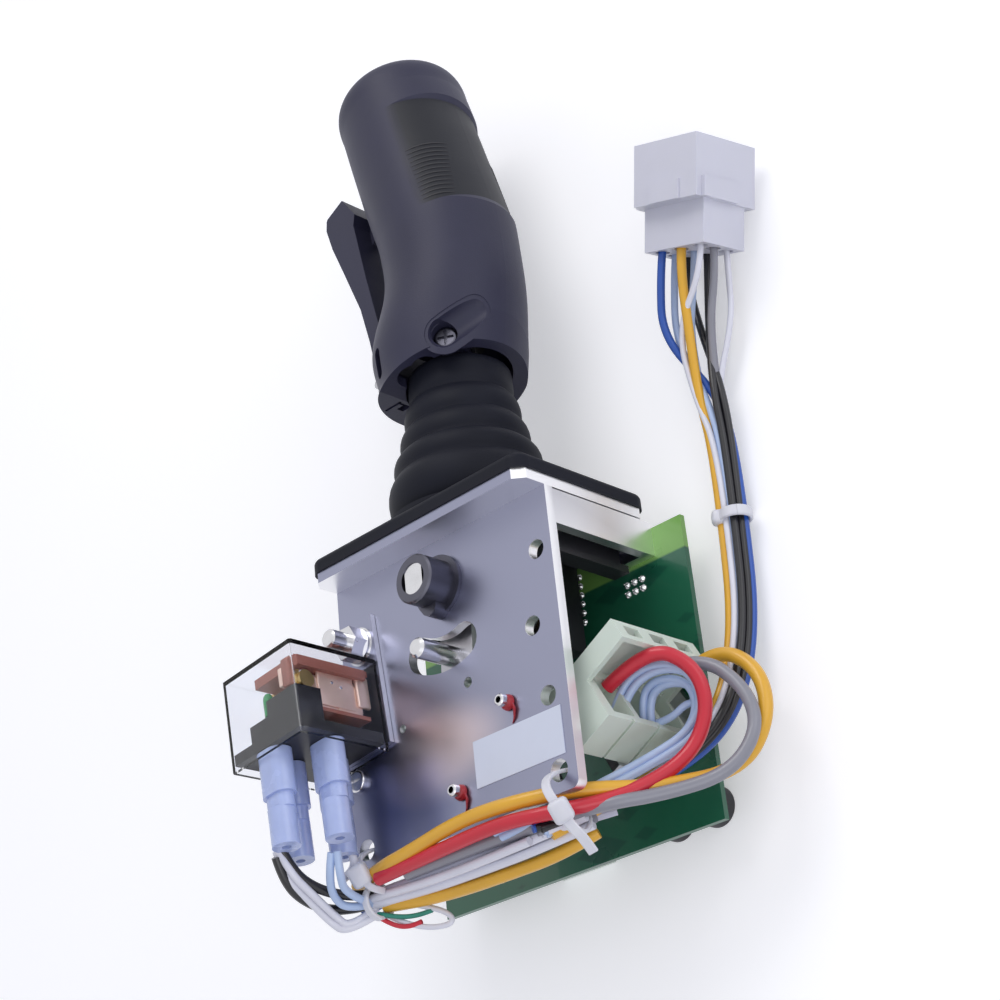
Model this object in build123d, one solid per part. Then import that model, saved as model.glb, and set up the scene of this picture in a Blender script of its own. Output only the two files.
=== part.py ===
from build123d import *
import math
import os

os.makedirs("parts", exist_ok=True)

# Row frame: Z up from the bench, Y along the handle, X across the plate. Millimetres.
# y = 0 is the top face of the mounting plate.

# Frame
PLATE_X = 76.2
PLATE_Z = 45.7
SHEET = 2.8
FACE_FRONT = 14.3
FACE_BACK = FACE_FRONT - SHEET
FACE_LOW = -78.2
LIP_LOW = -12.3
LIP_TOP = -3.2
BOARD_FRONT = -23.9
BOARD_T = 1.6
BOARD_BACK = BOARD_FRONT - BOARD_T
BACK_Z = -34.5
MOUNT_X = 63.5
MOUNT_Z = 12.7
MOUNT_R = 2.6
FLANGE_T = 4.2
BOOT_HOLE_R = 18.6
COLLAR_R = 22.4
COLUMN_HOLES = [(33.2, -18.1), (29.4, -36.4), (31.8, -54.6)]
TIE_HOLE_R = (32.6, -73.0)
TIE_HOLE_L = (-33.4, -73.3)
COLUMN_R = 2.45
SWITCH_SCREWS = [(19.0, -52.0), (0.8, -68.6)]
STANDOFFS = [(-34.3, -55.5)]
STUD = (-28.5, -21.6)

# Lever pivot
PIVOT_Y = -15.2
BORE_R = 4.0
RUN = 0.025
SHAFT_R = BORE_R - RUN
BUSH_R = 6.35
PIN_ANGLE = -4.0
PIN_ARC = 17.7
PIN_R = 2.6
SLOT_HALF = 4.6
SLOT_SWEEP = 25.0
ROD_R = 5.0
ROD_TOP = 84.0

# Grip: each section gives its centre, tilt and half axes
GRIP_LOW = 44.5
WALL = 2.6
SECTIONS = [
    (-2.8, 44.5, 0, 19.6, 20.4),
    (-2.3, 53.0, 0, 20.9, 20.7),
    (-1.4, 62.0, 0, 21.0, 20.6),
    (0.9, 70.0, 0, 19.8, 19.6),
    (1.9, 78.0, 0, 19.0, 19.0),
    (0.9, 92.0, 7, 19.1, 19.1),
    (-2.8, 106.0, 13, 19.1, 19.1),
    (-6.4, 120.0, 15, 19.1, 19.0),
    (-8.6, 128.5, 15, 19.0, 18.9),
    (-10.1, 134.4, 15, 18.9, 18.8),
    (-10.8, 137.0, 15, 18.8, 18.8),
]
HEAD_TILT = 15.0
FLOOR_RISE = 12.0
FLOOR_HINGE = -12.0
BOOT_WAY = 14.5

# Set screw that clamps the grip to the rod: its height, its turn from +X and its seat from the rod's axis
SCREW_Y = 53.0
SCREW_TURN = 55.8
SCREW_SEAT = 13.0
SCREW_R = 1.6
SCREW_HEAD_R = 3.1
DIMPLE_R = 4.4
DIMPLE_ENDS = [(11.7, 52.0, 16.4), (19.6, 58.0, 10.1)]

# Palm panel let into the neck, measured down from the cap
PANEL_TOP = -9.0
PANEL_LOW = -48.6
PANEL_BEVEL = 6.4
PANEL_R = 20.0
PANEL_SHIFT = 2.2
PANEL_EDGE = 1.4

# Scoop low on the palm side: a leaning round cut
SCOOP_R = 21.9
SCOOP_LEAN = 11.3
SCOOP_AT = (-2.2, 64.0)

# Trigger pin and the switch behind the trigger
TRIG = (-19.4, 52.6)
POCKET_TOP = 119.0
POCKET_HALF = 9.2
TRIG_HALF = 8.2
SWITCH_AT = (-7.6, 110.5)

# Rocker's pin above the cap's base
ROCKER_PIN = (1.0, 6.6)

# Relay
RELAY_X = -35.4
RELAY_Y = -40.7
RELAY_BACK = 15.8
RELAY_TILT = 6.1
RELAY_W = 26.9
RELAY_H = 24.7
RELAY_D = 28.3
BLADES = [(-1.8, 9.8), (7.2, 0.8), (-7.6, 0.8), (-1.8, -8.2)]

# Gap round the rocker in its window
ROCKER_GAP = 0.65


def box(x0, x1, y0, y1, z0, z1):
    return Pos((x0 + x1) / 2, (y0 + y1) / 2, (z0 + z1) / 2) * Box(x1 - x0, y1 - y0, z1 - z0)


def zcyl(x, y, z0, z1, r):
    return Pos(x, y, (z0 + z1) / 2) * Cylinder(r, z1 - z0)


def ycyl(x, z, y0, y1, r):
    return Pos(x, (y0 + y1) / 2, z) * Rot(X=90) * Cylinder(r, y1 - y0)


def polar(radius, angle):
    a = math.radians(angle)
    return radius * math.sin(a), PIVOT_Y - radius * math.cos(a)


def save(shape, name):
    if isinstance(shape, (list, ShapeList)):
        shape = Compound(children=list(shape))
    shape.label = name
    export_step(shape, "parts/" + name + ".step")


# Frame

def rounded_plate(x, z, y0, y1, r):
    plate = box(-x / 2, x / 2, y0, y1, -z / 2, z / 2)
    return fillet(plate.edges().filter_by(Axis.Y), r)


def mount_holes(y0, y1, r):
    return [ycyl(sx * MOUNT_X / 2, sz * MOUNT_Z / 2, y0, y1, r) for sx in (-1, 1) for sz in (-1, 1)]


def plate_screws_at():
    return [(sx * 22.5, z) for sx in (-1, 1) for z in (-15.5, 5.5)]


def top_plate():
    p = box(-PLATE_X / 2, PLATE_X / 2, -SHEET, 0, -PLATE_Z / 2, PLATE_Z / 2)
    p = chamfer(p.edges().filter_by(Axis.Y), 2.6)
    p -= box(-14, 14, -SHEET - 1, 1, -8, 8)
    for h in mount_holes(-SHEET - 1, 1, MOUNT_R):
        p -= h
    for x, z in plate_screws_at():
        p -= ycyl(x, z, -SHEET - 1, 1, 1.8)
        p -= Pos(x, -0.9, z) * Rot(X=-90) * Cone(1.8, 3.6, 1.8)
    return p


def arc_slot(radius, half, centre, sweep, z0, z1):
    outer = zcyl(0, PIVOT_Y, z0, z1, radius + half) - zcyl(0, PIVOT_Y, z0 - 1, z1 + 1, radius - half)
    a0, a1 = math.radians(centre - sweep), math.radians(centre + sweep)
    big = 3 * radius
    tri = Polyline(
        (0, PIVOT_Y),
        (big * math.sin(a0), PIVOT_Y - big * math.cos(a0)),
        (big * math.sin(a1), PIVOT_Y - big * math.cos(a1)),
        close=True,
    )
    wedge = Pos(0, 0, z0) * extrude(make_face(tri), z1 - z0)
    s = outer & wedge
    for a in (centre - sweep, centre + sweep):
        x, y = polar(radius, a)
        s += zcyl(x, y, z0, z1, half)
    return s


def side_lip(sx):
    x0, x1 = sorted((sx * PLATE_X / 2, sx * (PLATE_X / 2 - SHEET)))
    lip = box(x0, x1, LIP_LOW, LIP_TOP, BOARD_FRONT, FACE_BACK + 0.5)
    t0, t1 = sorted((sx * (PLATE_X / 2 - SHEET), sx * (PLATE_X / 2 - 12.5)))
    tab = box(t0, t1, LIP_LOW, LIP_TOP, BOARD_FRONT, BOARD_FRONT + SHEET)
    tab -= zcyl(sx * 30.3, -7.75, BOARD_FRONT - 1, BOARD_FRONT + 4, 1.6)
    return lip + tab


def frame_bracket():
    f = box(-PLATE_X / 2, PLATE_X / 2, FACE_LOW, -SHEET, FACE_BACK, FACE_FRONT)
    f = fillet(f.edges().filter_by(Axis.Z).group_by(Axis.Y)[0], 2.0)
    for x, y in COLUMN_HOLES:
        f -= zcyl(x, y, FACE_BACK - 1.5, FACE_FRONT + 1.7, COLUMN_R)
    for x, y in (TIE_HOLE_R, TIE_HOLE_L):
        f -= zcyl(x, y, FACE_BACK - 1.5, FACE_FRONT + 1.7, 2.7)
    f -= zcyl(6.5, -42.8, FACE_BACK - 1.5, FACE_FRONT + 1.7, 1.35)
    f -= zcyl(-17.3, -47.0, FACE_BACK - 1.5, FACE_FRONT + 1.7, 1.1)
    for x, y in SWITCH_SCREWS:
        f -= zcyl(x, y, FACE_BACK - 1.5, FACE_FRONT + 1.7, 1.5)
    for x, y in STANDOFFS:
        f -= zcyl(x, y, FACE_BACK - 1.5, FACE_FRONT + 1.7, 1.6)
    f -= zcyl(STUD[0], STUD[1], FACE_BACK - 1.5, FACE_FRONT + 1.7, 2.5)
    f -= zcyl(0, PIVOT_Y, FACE_BACK - 1.5, FACE_FRONT + 1.7, 5.0)
    f -= arc_slot(PIN_ARC, SLOT_HALF, PIN_ANGLE, SLOT_SWEEP, FACE_BACK - 1.5, FACE_FRONT + 1.7)
    return f + side_lip(1) + side_lip(-1)


def boot_flange():
    p = rounded_plate(PLATE_X + 1.0, PLATE_Z + 0.9, 0, FLANGE_T, 4.0)
    p = fillet(p.edges().group_by(Axis.Y)[-1], 1.6)
    p += ycyl(0, 0, FLANGE_T - 1.0, FLANGE_T + 1.3, COLLAR_R)
    p -= ycyl(0, 0, -1, FLANGE_T + 2, BOOT_HOLE_R)
    for h in mount_holes(-1, FLANGE_T + 2, MOUNT_R):
        p -= h
    return p


def boot_bellows():
    outer = [(17.6, 0.2), (17.8, 4.8), (20.2, 7.8), (21.4, 11.0), (21.3, 14.4), (20.4, 16.8), (19.0, 18.4),
             (19.1, 21.2), (18.2, 24.0), (16.4, 25.5), (16.8, 28.6), (16.2, 31.2), (14.8, 32.8),
             (15.2, 35.6), (14.6, 38.6), (13.3, 40.3), (13.7, 43.0), (13.5, 46.0), (13.5, 48.0),
             (13.0, 49.3), (9.0, 49.7)]
    inner = [(r - 1.5, y) for r, y in outer[:-1]] + [(9.0, 48.2)]
    top = Spline(*outer[:-1])
    inn = Spline(*inner[:-1])
    ring = [top, Line(outer[-2], outer[-1]), Line(outer[-1], inner[-1]), Line(inner[-1], inner[-2]), inn,
            Line(inner[0], outer[0])]
    return revolve(make_face(ring), Axis.Y)


def pivot_bush_front():
    b = zcyl(0, PIVOT_Y, FACE_FRONT, 23.5, BUSH_R)
    b = chamfer(b.edges().group_by(Axis.Z)[-1], 0.5)
    b += zcyl(0, PIVOT_Y, FACE_FRONT, FACE_FRONT + 1.1, 7.9)
    b += zcyl(0, PIVOT_Y, FACE_BACK, FACE_FRONT, 5.0)
    b += zcyl(0, PIVOT_Y - 6.2, FACE_FRONT, FACE_FRONT + 4.6, 2.6)
    b -= zcyl(0, PIVOT_Y, 10, 25, BORE_R)
    return b


# Plastic carrier under the plate, holding the rear end of the shaft

def pivot_housing():
    h = box(-32, 32, -7.8, -SHEET, -20.5, 9.5)
    h -= box(-16, 16, -9, 0, -12.4, 12)
    for sx in (-1, 1):
        x0, x1 = sorted((sx * 27, sx * 32))
        h += box(x0, x1, -15.5, -7.8, -20.5, 9.5)
    h += box(-15, 15, -31, -7.8, -20.5, -14.5)
    h -= zcyl(0, PIVOT_Y, -22, -13, 5.6)
    for x, z in plate_screws_at():
        h -= ycyl(x, z, -8.5, 0, 1.5)
    h -= box(23.0, 33.0, -13.5, -1.0, -22, -17.5)
    h -= box(-33.0, -23.0, -13.5, -1.0, -22, -17.5)
    h -= zcyl(ANCHOR[0], ANCHOR[1], -18, -13, 2.0)
    return h


ANCHOR = polar(12.4, PIN_ANGLE)


def pivot_bush_rear():
    b = zcyl(0, PIVOT_Y, -20.5, -14.5, 5.6) + zcyl(0, PIVOT_Y, -14.5, -13.5, 7.0)
    return b - zcyl(0, PIVOT_Y, -22, -12, BORE_R)


def housing_screws():
    out = []
    for x, z in plate_screws_at():
        s = Pos(x, -0.9, z) * Rot(X=-90) * Cone(1.8, 3.6, 1.8)
        s += ycyl(x, z, -7.6, -1.8, 1.5)
        s -= box(x - 2.0, x + 2.0, -0.8, 0.1, z - 0.4, z + 0.4)
        out.append(s)
    return out


def spring_anchor():
    return zcyl(ANCHOR[0], ANCHOR[1], -18, -1.2, 2.0)


def centring_spring():
    pitch, turns, r, w = 2.15, 2.122, 9.4, 0.9
    coil = Helix(pitch=pitch, height=pitch * turns, radius=r)
    body = sweep(Plane(origin=coil @ 0, z_dir=coil % 0) * Circle(w), path=coil)
    body = Pos(0, PIVOT_Y, -11.4) * Rot(Z=PIN_ANGLE - 22 - 90) * body
    legs = []
    for side, z in ((-1, -11.4), (1, -11.4 + pitch * turns)):
        x0, y0 = polar(r, PIN_ANGLE + side * 22)
        x1, y1 = polar(21.5, PIN_ANGLE + side * 11.2)
        path = Line((x0, y0, z), (x1, y1, z))
        legs.append(sweep(Plane(origin=path @ 0, z_dir=path % 0) * Circle(w), path=path))
    return [body] + legs


def position_sensor():
    s = box(-9, 9, -26.5, -6.0, BOARD_FRONT, -20.8)
    return s - zcyl(0, PIVOT_Y, -25, -20, 3.05)


# Circuit board

def circuit_board():
    b = box(-46.5, 47.7, -83.0, -4.6, BOARD_FRONT - BOARD_T, BOARD_FRONT)
    for sx in (-1, 1):
        b -= zcyl(sx * 30.3, -7.75, BOARD_BACK - 1.5, BOARD_FRONT + 0.9, 1.6)
    for x, y in STANDOFFS:
        b -= zcyl(x, y, BOARD_BACK - 1.5, BOARD_FRONT + 0.9, 1.6)
    b -= zcyl(0, PIVOT_Y, BOARD_BACK - 1.5, BOARD_FRONT + 0.9, 3.05)
    return b


def board_screws():
    out = []
    for sx in (-1, 1):
        s = zcyl(sx * 30.3, -7.75, BOARD_BACK - 1.9, BOARD_BACK, 2.8)
        s = fillet(s.edges().group_by(Axis.Z)[0], 0.8)
        out.append(s + zcyl(sx * 30.3, -7.75, BOARD_BACK, BOARD_FRONT + 3.9, 1.6))
    for x, y in STANDOFFS:
        s = zcyl(x, y, BOARD_BACK - 1.9, BOARD_BACK, 2.8)
        s = fillet(s.edges().group_by(Axis.Z)[0], 0.8)
        out.append(s + zcyl(x, y, BOARD_BACK, BOARD_FRONT, 1.6))
    return out


def board_standoffs():
    out = []
    for x, y in STANDOFFS:
        hexa = Pos(x, y, BOARD_FRONT) * extrude(RegularPolygon(3.2, 6), FACE_BACK - BOARD_FRONT)
        out.append(hexa)
    return out


def standoff_screws():
    out = []
    for x, y in STANDOFFS:
        s = zcyl(x, y, FACE_FRONT, FACE_FRONT + 1.6, 2.9)
        s = fillet(s.edges().group_by(Axis.Z)[-1], 0.7)
        s -= box(x - 1.8, x + 1.8, y - 0.35, y + 0.35, FACE_FRONT + 0.9, FACE_FRONT + 3)
        out.append(s + zcyl(x, y, FACE_BACK, FACE_FRONT, 1.6))
    return out


def board_capacitors():
    out = []
    for x, y in ((-39.5, -10.2), (-20.5, -10.2), (38.5, -76), (26, -76), (-38, -74)):
        c = zcyl(x, y, BACK_Z, BOARD_BACK, 5.0)
        out.append(fillet(c.edges().group_by(Axis.Z)[0], 0.6))
    return out


def board_blocks():
    return [box(6.5, 24.5, -17.5, -5.5, BACK_Z, BOARD_BACK), box(-14, 4, -80, -66, BACK_Z, BOARD_BACK)]


def board_chips():
    out = []
    for x, y, w, h in ((-20, -40, 18, 7), (12, -42, 7, 20), (30, -48, 10, 8), (-20, -56, 8, 8)):
        out.append(box(x - w / 2, x + w / 2, y - h / 2, y + h / 2, BOARD_BACK - 3.1, BOARD_BACK))
    return out


# Switch behind the face, one V3 body held by the two screws

def neutral_switch():
    cx = (SWITCH_SCREWS[0][0] + SWITCH_SCREWS[1][0]) / 2
    cy = (SWITCH_SCREWS[0][1] + SWITCH_SCREWS[1][1]) / 2
    body = Pos(cx, cy, 6.35) * Rot(Z=17.5) * Box(27.8, 15.9, 10.3)
    for x, y in SWITCH_SCREWS:
        body -= zcyl(x, y, 0, 13, 1.5)
    feet = []
    for k in (-9.5, 0.0, 9.5):
        feet.append(Pos(cx, cy, 6.35) * Rot(Z=17.5) * Pos(k, -10.9, 0) * Box(0.8, 6.2, 6.3))
    return [body] + feet


def switch_screws():
    out = []
    for x, y in SWITCH_SCREWS:
        s = zcyl(x, y, -0.8, 1.2, 2.7) + zcyl(x, y, 1.2, 17.6, 1.5)
        out.append(chamfer(s.edges().group_by(Axis.Z)[-1], 0.3))
    return out


def switch_lever():
    cx = (SWITCH_SCREWS[0][0] + SWITCH_SCREWS[1][0]) / 2
    cy = (SWITCH_SCREWS[0][1] + SWITCH_SCREWS[1][1]) / 2
    strip = Pos(cx, cy, 6.35) * Rot(Z=17.5) * Pos(-2.5, 8.4, 0) * Box(17, 0.5, 4.6)
    rx, ry = polar(27.4, PIN_ANGLE)
    roller = zcyl(rx, ry, 4.2, 8.6, 2.3)
    p0 = Pos(cx, cy, 6.35) * Rot(Z=17.5) * Pos(-10.7, 8.4, 0)
    x0, y0 = p0.position.X + 0.6, p0.position.Y + 1.6
    length = math.hypot(rx - x0, ry - y0)
    ang = math.degrees(math.atan2(ry - y0, rx - x0))
    arm = Pos((x0 + rx) / 2, (y0 + ry) / 2, 3.9) * Rot(Z=ang) * Box(length + 1, 2.0, 0.6)
    return [strip + arm + roller]


# White connector on the board: a tall housing turned about Z

CONN = Pos(47.4, -39.6, 0) * Rot(Z=-152.3)


def conn_box(u0, u1, v0, v1, z0, z1):
    # u runs from the window end down to the left, v runs down to the right
    return CONN * Pos((u0 + u1) / 2, (v0 + v1) / 2, (z0 + z1) / 2) * Box(u1 - u0, v1 - v0, z1 - z0)


def board_plug():
    p = conn_box(14, 26, 0, 17.8, -21.9, 7.3)
    p += conn_box(0, 14, 0, 6.2, -21.9, 7.3)
    p -= conn_box(1.3, 14, 1.5, 7, -20.4, 5.8)
    for z in (0.6, -8.2, -17.0):
        p -= conn_box(13, 20, 4.0, 15.8, z - 3.6, z + 3.6)
    for z in (1.6, -7.3, -16.2):
        p -= conn_box(-1, 2, 1.5, 4.6, z - 2.6, z + 2.6)
    p -= conn_box(13, 39, 16.9, 19, -1.6, -0.8)
    p -= conn_box(13, 39, 16.9, 19, -10.6, -9.8)
    p -= conn_box(18, 27, 3.0, 6.0, 6.4, 9)
    return p


def board_header():
    p = conn_box(10, 28.4, -1.2, 19.0, BOARD_FRONT, -21.9)
    p += conn_box(26, 28.4, -1.2, 19.0, -21.9, -6.0)
    return p


# Relay: clear case, coil set, blades

HW, HH, HD = RELAY_W / 2, RELAY_H / 2, RELAY_D / 2
RELAY = Pos(RELAY_X, RELAY_Y, RELAY_BACK + HD) * Rot(Z=RELAY_TILT)


def relay_box(x0, x1, y0, y1, z0, z1):
    return RELAY * box(x0, x1, y0, y1, z0, z1)


def relay_cover():
    c = Pos(0, 0, 0) * Box(RELAY_W, RELAY_H, RELAY_D)
    c = fillet(c.edges().filter_by(Axis.Y), 0.8)
    c -= box(-HW + 0.9, HW - 0.9, -HH - 1, HH - 0.9, -HD + 0.9, HD - 0.9)
    return RELAY * c


def relay_base():
    b = box(-HW + 1.0, HW - 1.0, -HH + 1.7, -HH + 4.6, -HD + 1.0, HD - 1.0)
    b += box(-HW + 8.0, HW - 1.0, -HH + 4.6, -HH + 9.0, HD - 8.55, HD - 1.0)
    b += box(-HW + 15, HW - 1.0, -HH + 9, -HH + 13.0, HD - 8.55, HD - 1.0)
    return RELAY * b


def relay_tab():
    t = box(-HW, HW + 0.3, -HH + 2.2, HH + 0.6, -HD - 1.4, -HD)
    t += box(1.5, HW + 0.3, HH + 0.6, HH + 13.1, -HD - 1.4, -HD)
    t = RELAY * t
    return t - zcyl(STUD[0], STUD[1], 12, 20, 2.6)


def relay_coil():
    c = box(-HW + 11.45, HW - 3.65, -HH + 8.75, HH - 5.55, -HD + 4.15, HD - 9.55)
    return RELAY * fillet(c.edges().filter_by(Axis.Z), 2.2)


def relay_bobbin():
    b = box(-HW + 9.25, HW - 1.85, HH - 5.55, HH - 2.95, -HD + 3.35, HD - 3.15)
    b += box(-HW + 9.85, HW - 1.85, -HH + 7.75, -HH + 8.75, -HD + 3.55, HD - 9.15)
    return RELAY * b


def relay_contacts():
    b = box(-HW + 2.45, -HW + 3.25, -HH + 4.6, HH - 4.35, -8.0, -2.0)
    b2 = box(-HW + 4.65, -HW + 5.45, -HH + 4.6, HH - 2.85, -4.0, 2.0)
    disc = Pos(HW - 2.55, HH - 8.95, HD - 5.55) * Rot(Y=90) * Cylinder(2.3, 1.2)
    post = box(HW - 4.05, HW - 3.15, HH - 11.55, HH - 6.35, HD - 7.95, HD - 3.15)
    return [RELAY * b, RELAY * b2, RELAY * (disc + post)]


def relay_lamp():
    p = Pos(-HW + 7.25, -HH + 7.95, HD - 11.35) * Rot(X=90) * Cylinder(1.6, 6.2)
    return RELAY * p


def relay_terminals():
    out = []
    for x, z in BLADES:
        out.append(RELAY * box(x - 3.15, x + 3.15, -HH - 7.5, -HH + 1.7, z - 0.4, z + 0.4))
    return out


def sleeve(x, z):
    top = -HH + 1.5
    a = extrude(Plane((x, top, z), x_dir=(1, 0, 0), z_dir=(0, -1, 0)) * SlotOverall(9.4, 6.4), 11.4)
    b = extrude(Plane((x, top - 11.4, z), x_dir=(1, 0, 0), z_dir=(0, -1, 0)) * SlotOverall(7.8, 5.0), 3.6)
    c = ycyl(x, z, top - 24.5, top - 15.0, 3.5)
    s = a + b + c
    s -= box(x - 3.2, x + 3.2, top - 9.5, top + 1, z - 0.45, z + 0.45)
    s -= ycyl(x, z, top - 26, top - 12, 1.15)
    return RELAY * s


def terminal_sleeves():
    return [sleeve(x, z) for x, z in BLADES]


def relay_stud():
    s = zcyl(STUD[0], STUD[1], FACE_BACK, 27.2, 2.5)
    s += zcyl(STUD[0], STUD[1], FACE_BACK - 2.4, FACE_BACK, 4.2)
    return chamfer(s.edges().group_by(Axis.Z)[-1], 0.5)


def relay_nut():
    n = Pos(STUD[0], STUD[1], 17.6) * extrude(RegularPolygon(4.4, 6), 4.0)
    return n - zcyl(STUD[0], STUD[1], 16, 24, 2.5)


def relay_washers():
    w = zcyl(STUD[0], STUD[1], RELAY_BACK, 16.7, 4.9) + zcyl(STUD[0], STUD[1], 16.7, 17.6, 4.5)
    return w - zcyl(STUD[0], STUD[1], 15, 19, 2.55)


def label_plate():
    return box(6.4, 35.2, -69.6, -58.0, FACE_FRONT, FACE_FRONT + 0.2)


# Lever body

def pivot_shaft():
    s = zcyl(0, PIVOT_Y, -20.6, 23.2, SHAFT_R) + zcyl(0, PIVOT_Y, -23.0, -20.6, 3.0)
    s -= box(-5, -3.0, PIVOT_Y - 5, PIVOT_Y + 5, 19.5, 24)
    s -= box(3.0, 5, PIVOT_Y - 5, PIVOT_Y + 5, 19.5, 24)
    return s


def lever_hub():
    h = zcyl(0, PIVOT_Y, -11.5, 10.6, 8.0)
    h -= zcyl(0, PIVOT_Y, -11.6, -4.9, 9.0) - zcyl(0, PIVOT_Y, -11.6, -4.9, 7.6)
    arm = box(-5.6, 5.6, -22.0, 0, 5.5, 9.5) + zcyl(0, -PIN_ARC, 5.5, 9.5, 5.6)
    arm = Pos(0, PIVOT_Y, 0) * Rot(Z=PIN_ANGLE) * arm
    h += arm & zcyl(0, PIVOT_Y, 5, 10, 22.4)
    h += box(-6.5, 6.5, PIVOT_Y, -6.0, -4.9, 6.0)
    h -= zcyl(0, PIVOT_Y, -12, 12, SHAFT_R)
    h -= ycyl(0, 0, PIVOT_Y + 5.0, 2, 3.5)
    x, y = polar(PIN_ARC, PIN_ANGLE)
    h -= zcyl(x, y, 4, 12, PIN_R)
    return h


def lever_rod():
    r = ycyl(0, 0, -2.0, ROD_TOP, ROD_R) + ycyl(0, 0, PIVOT_Y + 5.0, -2.0, 3.5)
    return r - ycyl(0, 0, 2, ROD_TOP + 1, 3.2)


def limit_pin():
    x, y = polar(PIN_ARC, PIN_ANGLE)
    p = zcyl(x, y, -9.5, 23.4, PIN_R)
    return chamfer(p.edges().group_by(Axis.Z)[-1], 0.7)


def grip_plane(i):
    x, y, tilt, a, b = SECTIONS[i]
    t = math.radians(tilt)
    return Plane(origin=(x, y, 0), x_dir=(math.cos(t), math.sin(t), 0), z_dir=(-math.sin(t), math.cos(t), 0))


def grip_loft(inset):
    faces = []
    for i, (x, y, tilt, a, b) in enumerate(SECTIONS):
        faces.append(grip_plane(i) * Ellipse(a - inset, b - inset))
    return loft(faces)


def trigger_pocket():
    return box(-36, -12.5, GRIP_LOW + 2.9, POCKET_TOP, -POCKET_HALF, POCKET_HALF)


def head_frame():
    return Pos(SECTIONS[-1][0], SECTIONS[-1][1], 0) * Rot(Z=HEAD_TILT)


def floor_frame():
    return Pos(FLOOR_HINGE, GRIP_LOW, 0) * Rot(Z=FLOOR_RISE)


def panel_cut():
    # a ring round the neck, its middle shifted so that the cut fades out to the front and back
    low, top, out = PANEL_LOW - PANEL_BEVEL, PANEL_TOP + 2.0, PANEL_R + PANEL_EDGE
    prof = Polyline((0, low), (out, low), (PANEL_R + 0.35, PANEL_LOW), (PANEL_R, PANEL_LOW),
                    (PANEL_R, PANEL_TOP), (out, top), (0, top), close=True)
    core = Pos(-PANEL_SHIFT, 0, 0) * revolve(make_face(prof), Axis.Y)
    return head_frame() * (box(0, 40, low, top, -40, 40) - core)


def scoop_cut():
    lean = Pos(SCOOP_AT[0], SCOOP_AT[1], 0) * Rot(Z=-SCOOP_LEAN)
    return lean * (box(0, 40, -30, 4, -40, 40) - ycyl(0, 0, -31, 5, SCOOP_R))


def grip_floor():
    # floor that rises to the palm side, with the way through for the top of the boot
    flat = box(-40, FLOOR_HINGE + 1.0, GRIP_LOW, GRIP_LOW + WALL, -40, 40)
    ramp = floor_frame() * box(0, 60, 0, WALL, -40, 40)
    floor = (flat + ramp) & grip_loft(0.2)
    return floor - screw_line() * xcyl(SCREW_SEAT - 1, 16.6, SCREW_HEAD_R + 0.3)


def below_floor():
    return floor_frame() * box(0, 60, -20, 0, -40, 40)


def boot_way(top):
    return ycyl(0, 0, 40, top, BOOT_WAY)


def rim_slots():
    out = []
    for sz in (-1, 1):
        z0, z1 = sorted((sz * 14.5, sz * 24))
        slot = Pos(-10.9, 52.3, z0) * Rot(Z=-4) * extrude(Rot(Z=90) * SlotOverall(8.4, 3.0), z1 - z0)
        out.append(slot)
    return out


def grip_shell():
    g = grip_loft(0) - grip_loft(WALL)
    g += grip_floor()
    g -= below_floor()
    g -= boot_way(SCREW_Y)
    # bite out of the floor beside the boot, the pocket, the palm panel and the scoop
    g -= ycyl(-3.0, 13.6, 40, 50, 4.6) + ycyl(1.5, 14.2, 40, 50, 3.4)
    g -= trigger_pocket()
    g -= panel_cut()
    g -= scoop_cut()
    for slot in rim_slots():
        g -= slot
    # latch slot in the floor
    g -= box(-19.0, -13.0, 40, GRIP_LOW + 5, 9.2, 10.0) + box(-16.6, -13.4, 40, GRIP_LOW + 5, 5.6, 7.8)
    g -= box(-14.2, -13.4, 40, GRIP_LOW + 5, 7.6, 10.0)
    return g


def grip_ribs():
    out = []
    for y0, y1 in ((60.0, 62.4), (80.0, 82.4)):
        disc = ycyl(0, 0, y0, y1, 24.0) & grip_loft(WALL - 0.3)
        out.append(disc - ycyl(0, 0, y0 - 1, y1 + 1, 8.0) - trigger_pocket())
    for z0, z1 in ((-30, -4), (4, 30)):
        out.append(zcyl(SWITCH_AT[0] + 2.0, SWITCH_AT[1], z0, z1, 2.6) & grip_loft(WALL - 0.3))
    return out


def screw_line():
    return Pos(0, SCREW_Y, 0) * Rot(Y=-SCREW_TURN)


def xcyl(x0, x1, r):
    return Pos((x0 + x1) / 2, 0, 0) * Rot(Y=90) * Cylinder(r, x1 - x0)


def dimple(r):
    # long hollow with round ends that lets the driver reach the screw
    p, q = (Vector(*end) for end in DIMPLE_ENDS)
    rod = Plane(origin=(p + q) * 0.5, z_dir=q - p) * Cylinder(r, (q - p).length)
    return rod + Pos(p) * Sphere(r) + Pos(q) * Sphere(r)


def grip_halves():
    g = grip_shell()
    for rib in grip_ribs():
        g += rib
    g -= zcyl(TRIG[0], TRIG[1], -11.3, 11.3, 1.5)
    front = g & box(-80, 60, 30, 170, 0, 40)
    back = g & box(-80, 60, 30, 170, -40, 0)
    boss = screw_line() * xcyl(ROD_R + 0.2, 30, SCREW_HEAD_R + 1.9) + dimple(DIMPLE_R + 1.8)
    boss = (boss & grip_loft(0.2)) - scoop_cut() - boot_way(SCREW_Y - 2.0)
    # the boss is cut before it joins the shell
    boss -= dimple(DIMPLE_R)
    hole = xcyl(SCREW_SEAT, 21, SCREW_HEAD_R + 0.3) + xcyl(ROD_R - 1, SCREW_SEAT + 1, SCREW_R)
    boss -= screw_line() * hole
    front -= dimple(DIMPLE_R + 0.9)
    front += boss
    return front, back


CAP_PROFILE = [(18.8, 0.0), (18.9, 4.0), (18.2, 7.2), (16.0, 9.8), (12.0, 11.5), (7.5, 12.2), (0.0, 12.4)]
CAP_TOP = CAP_PROFILE[-1][1]


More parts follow.
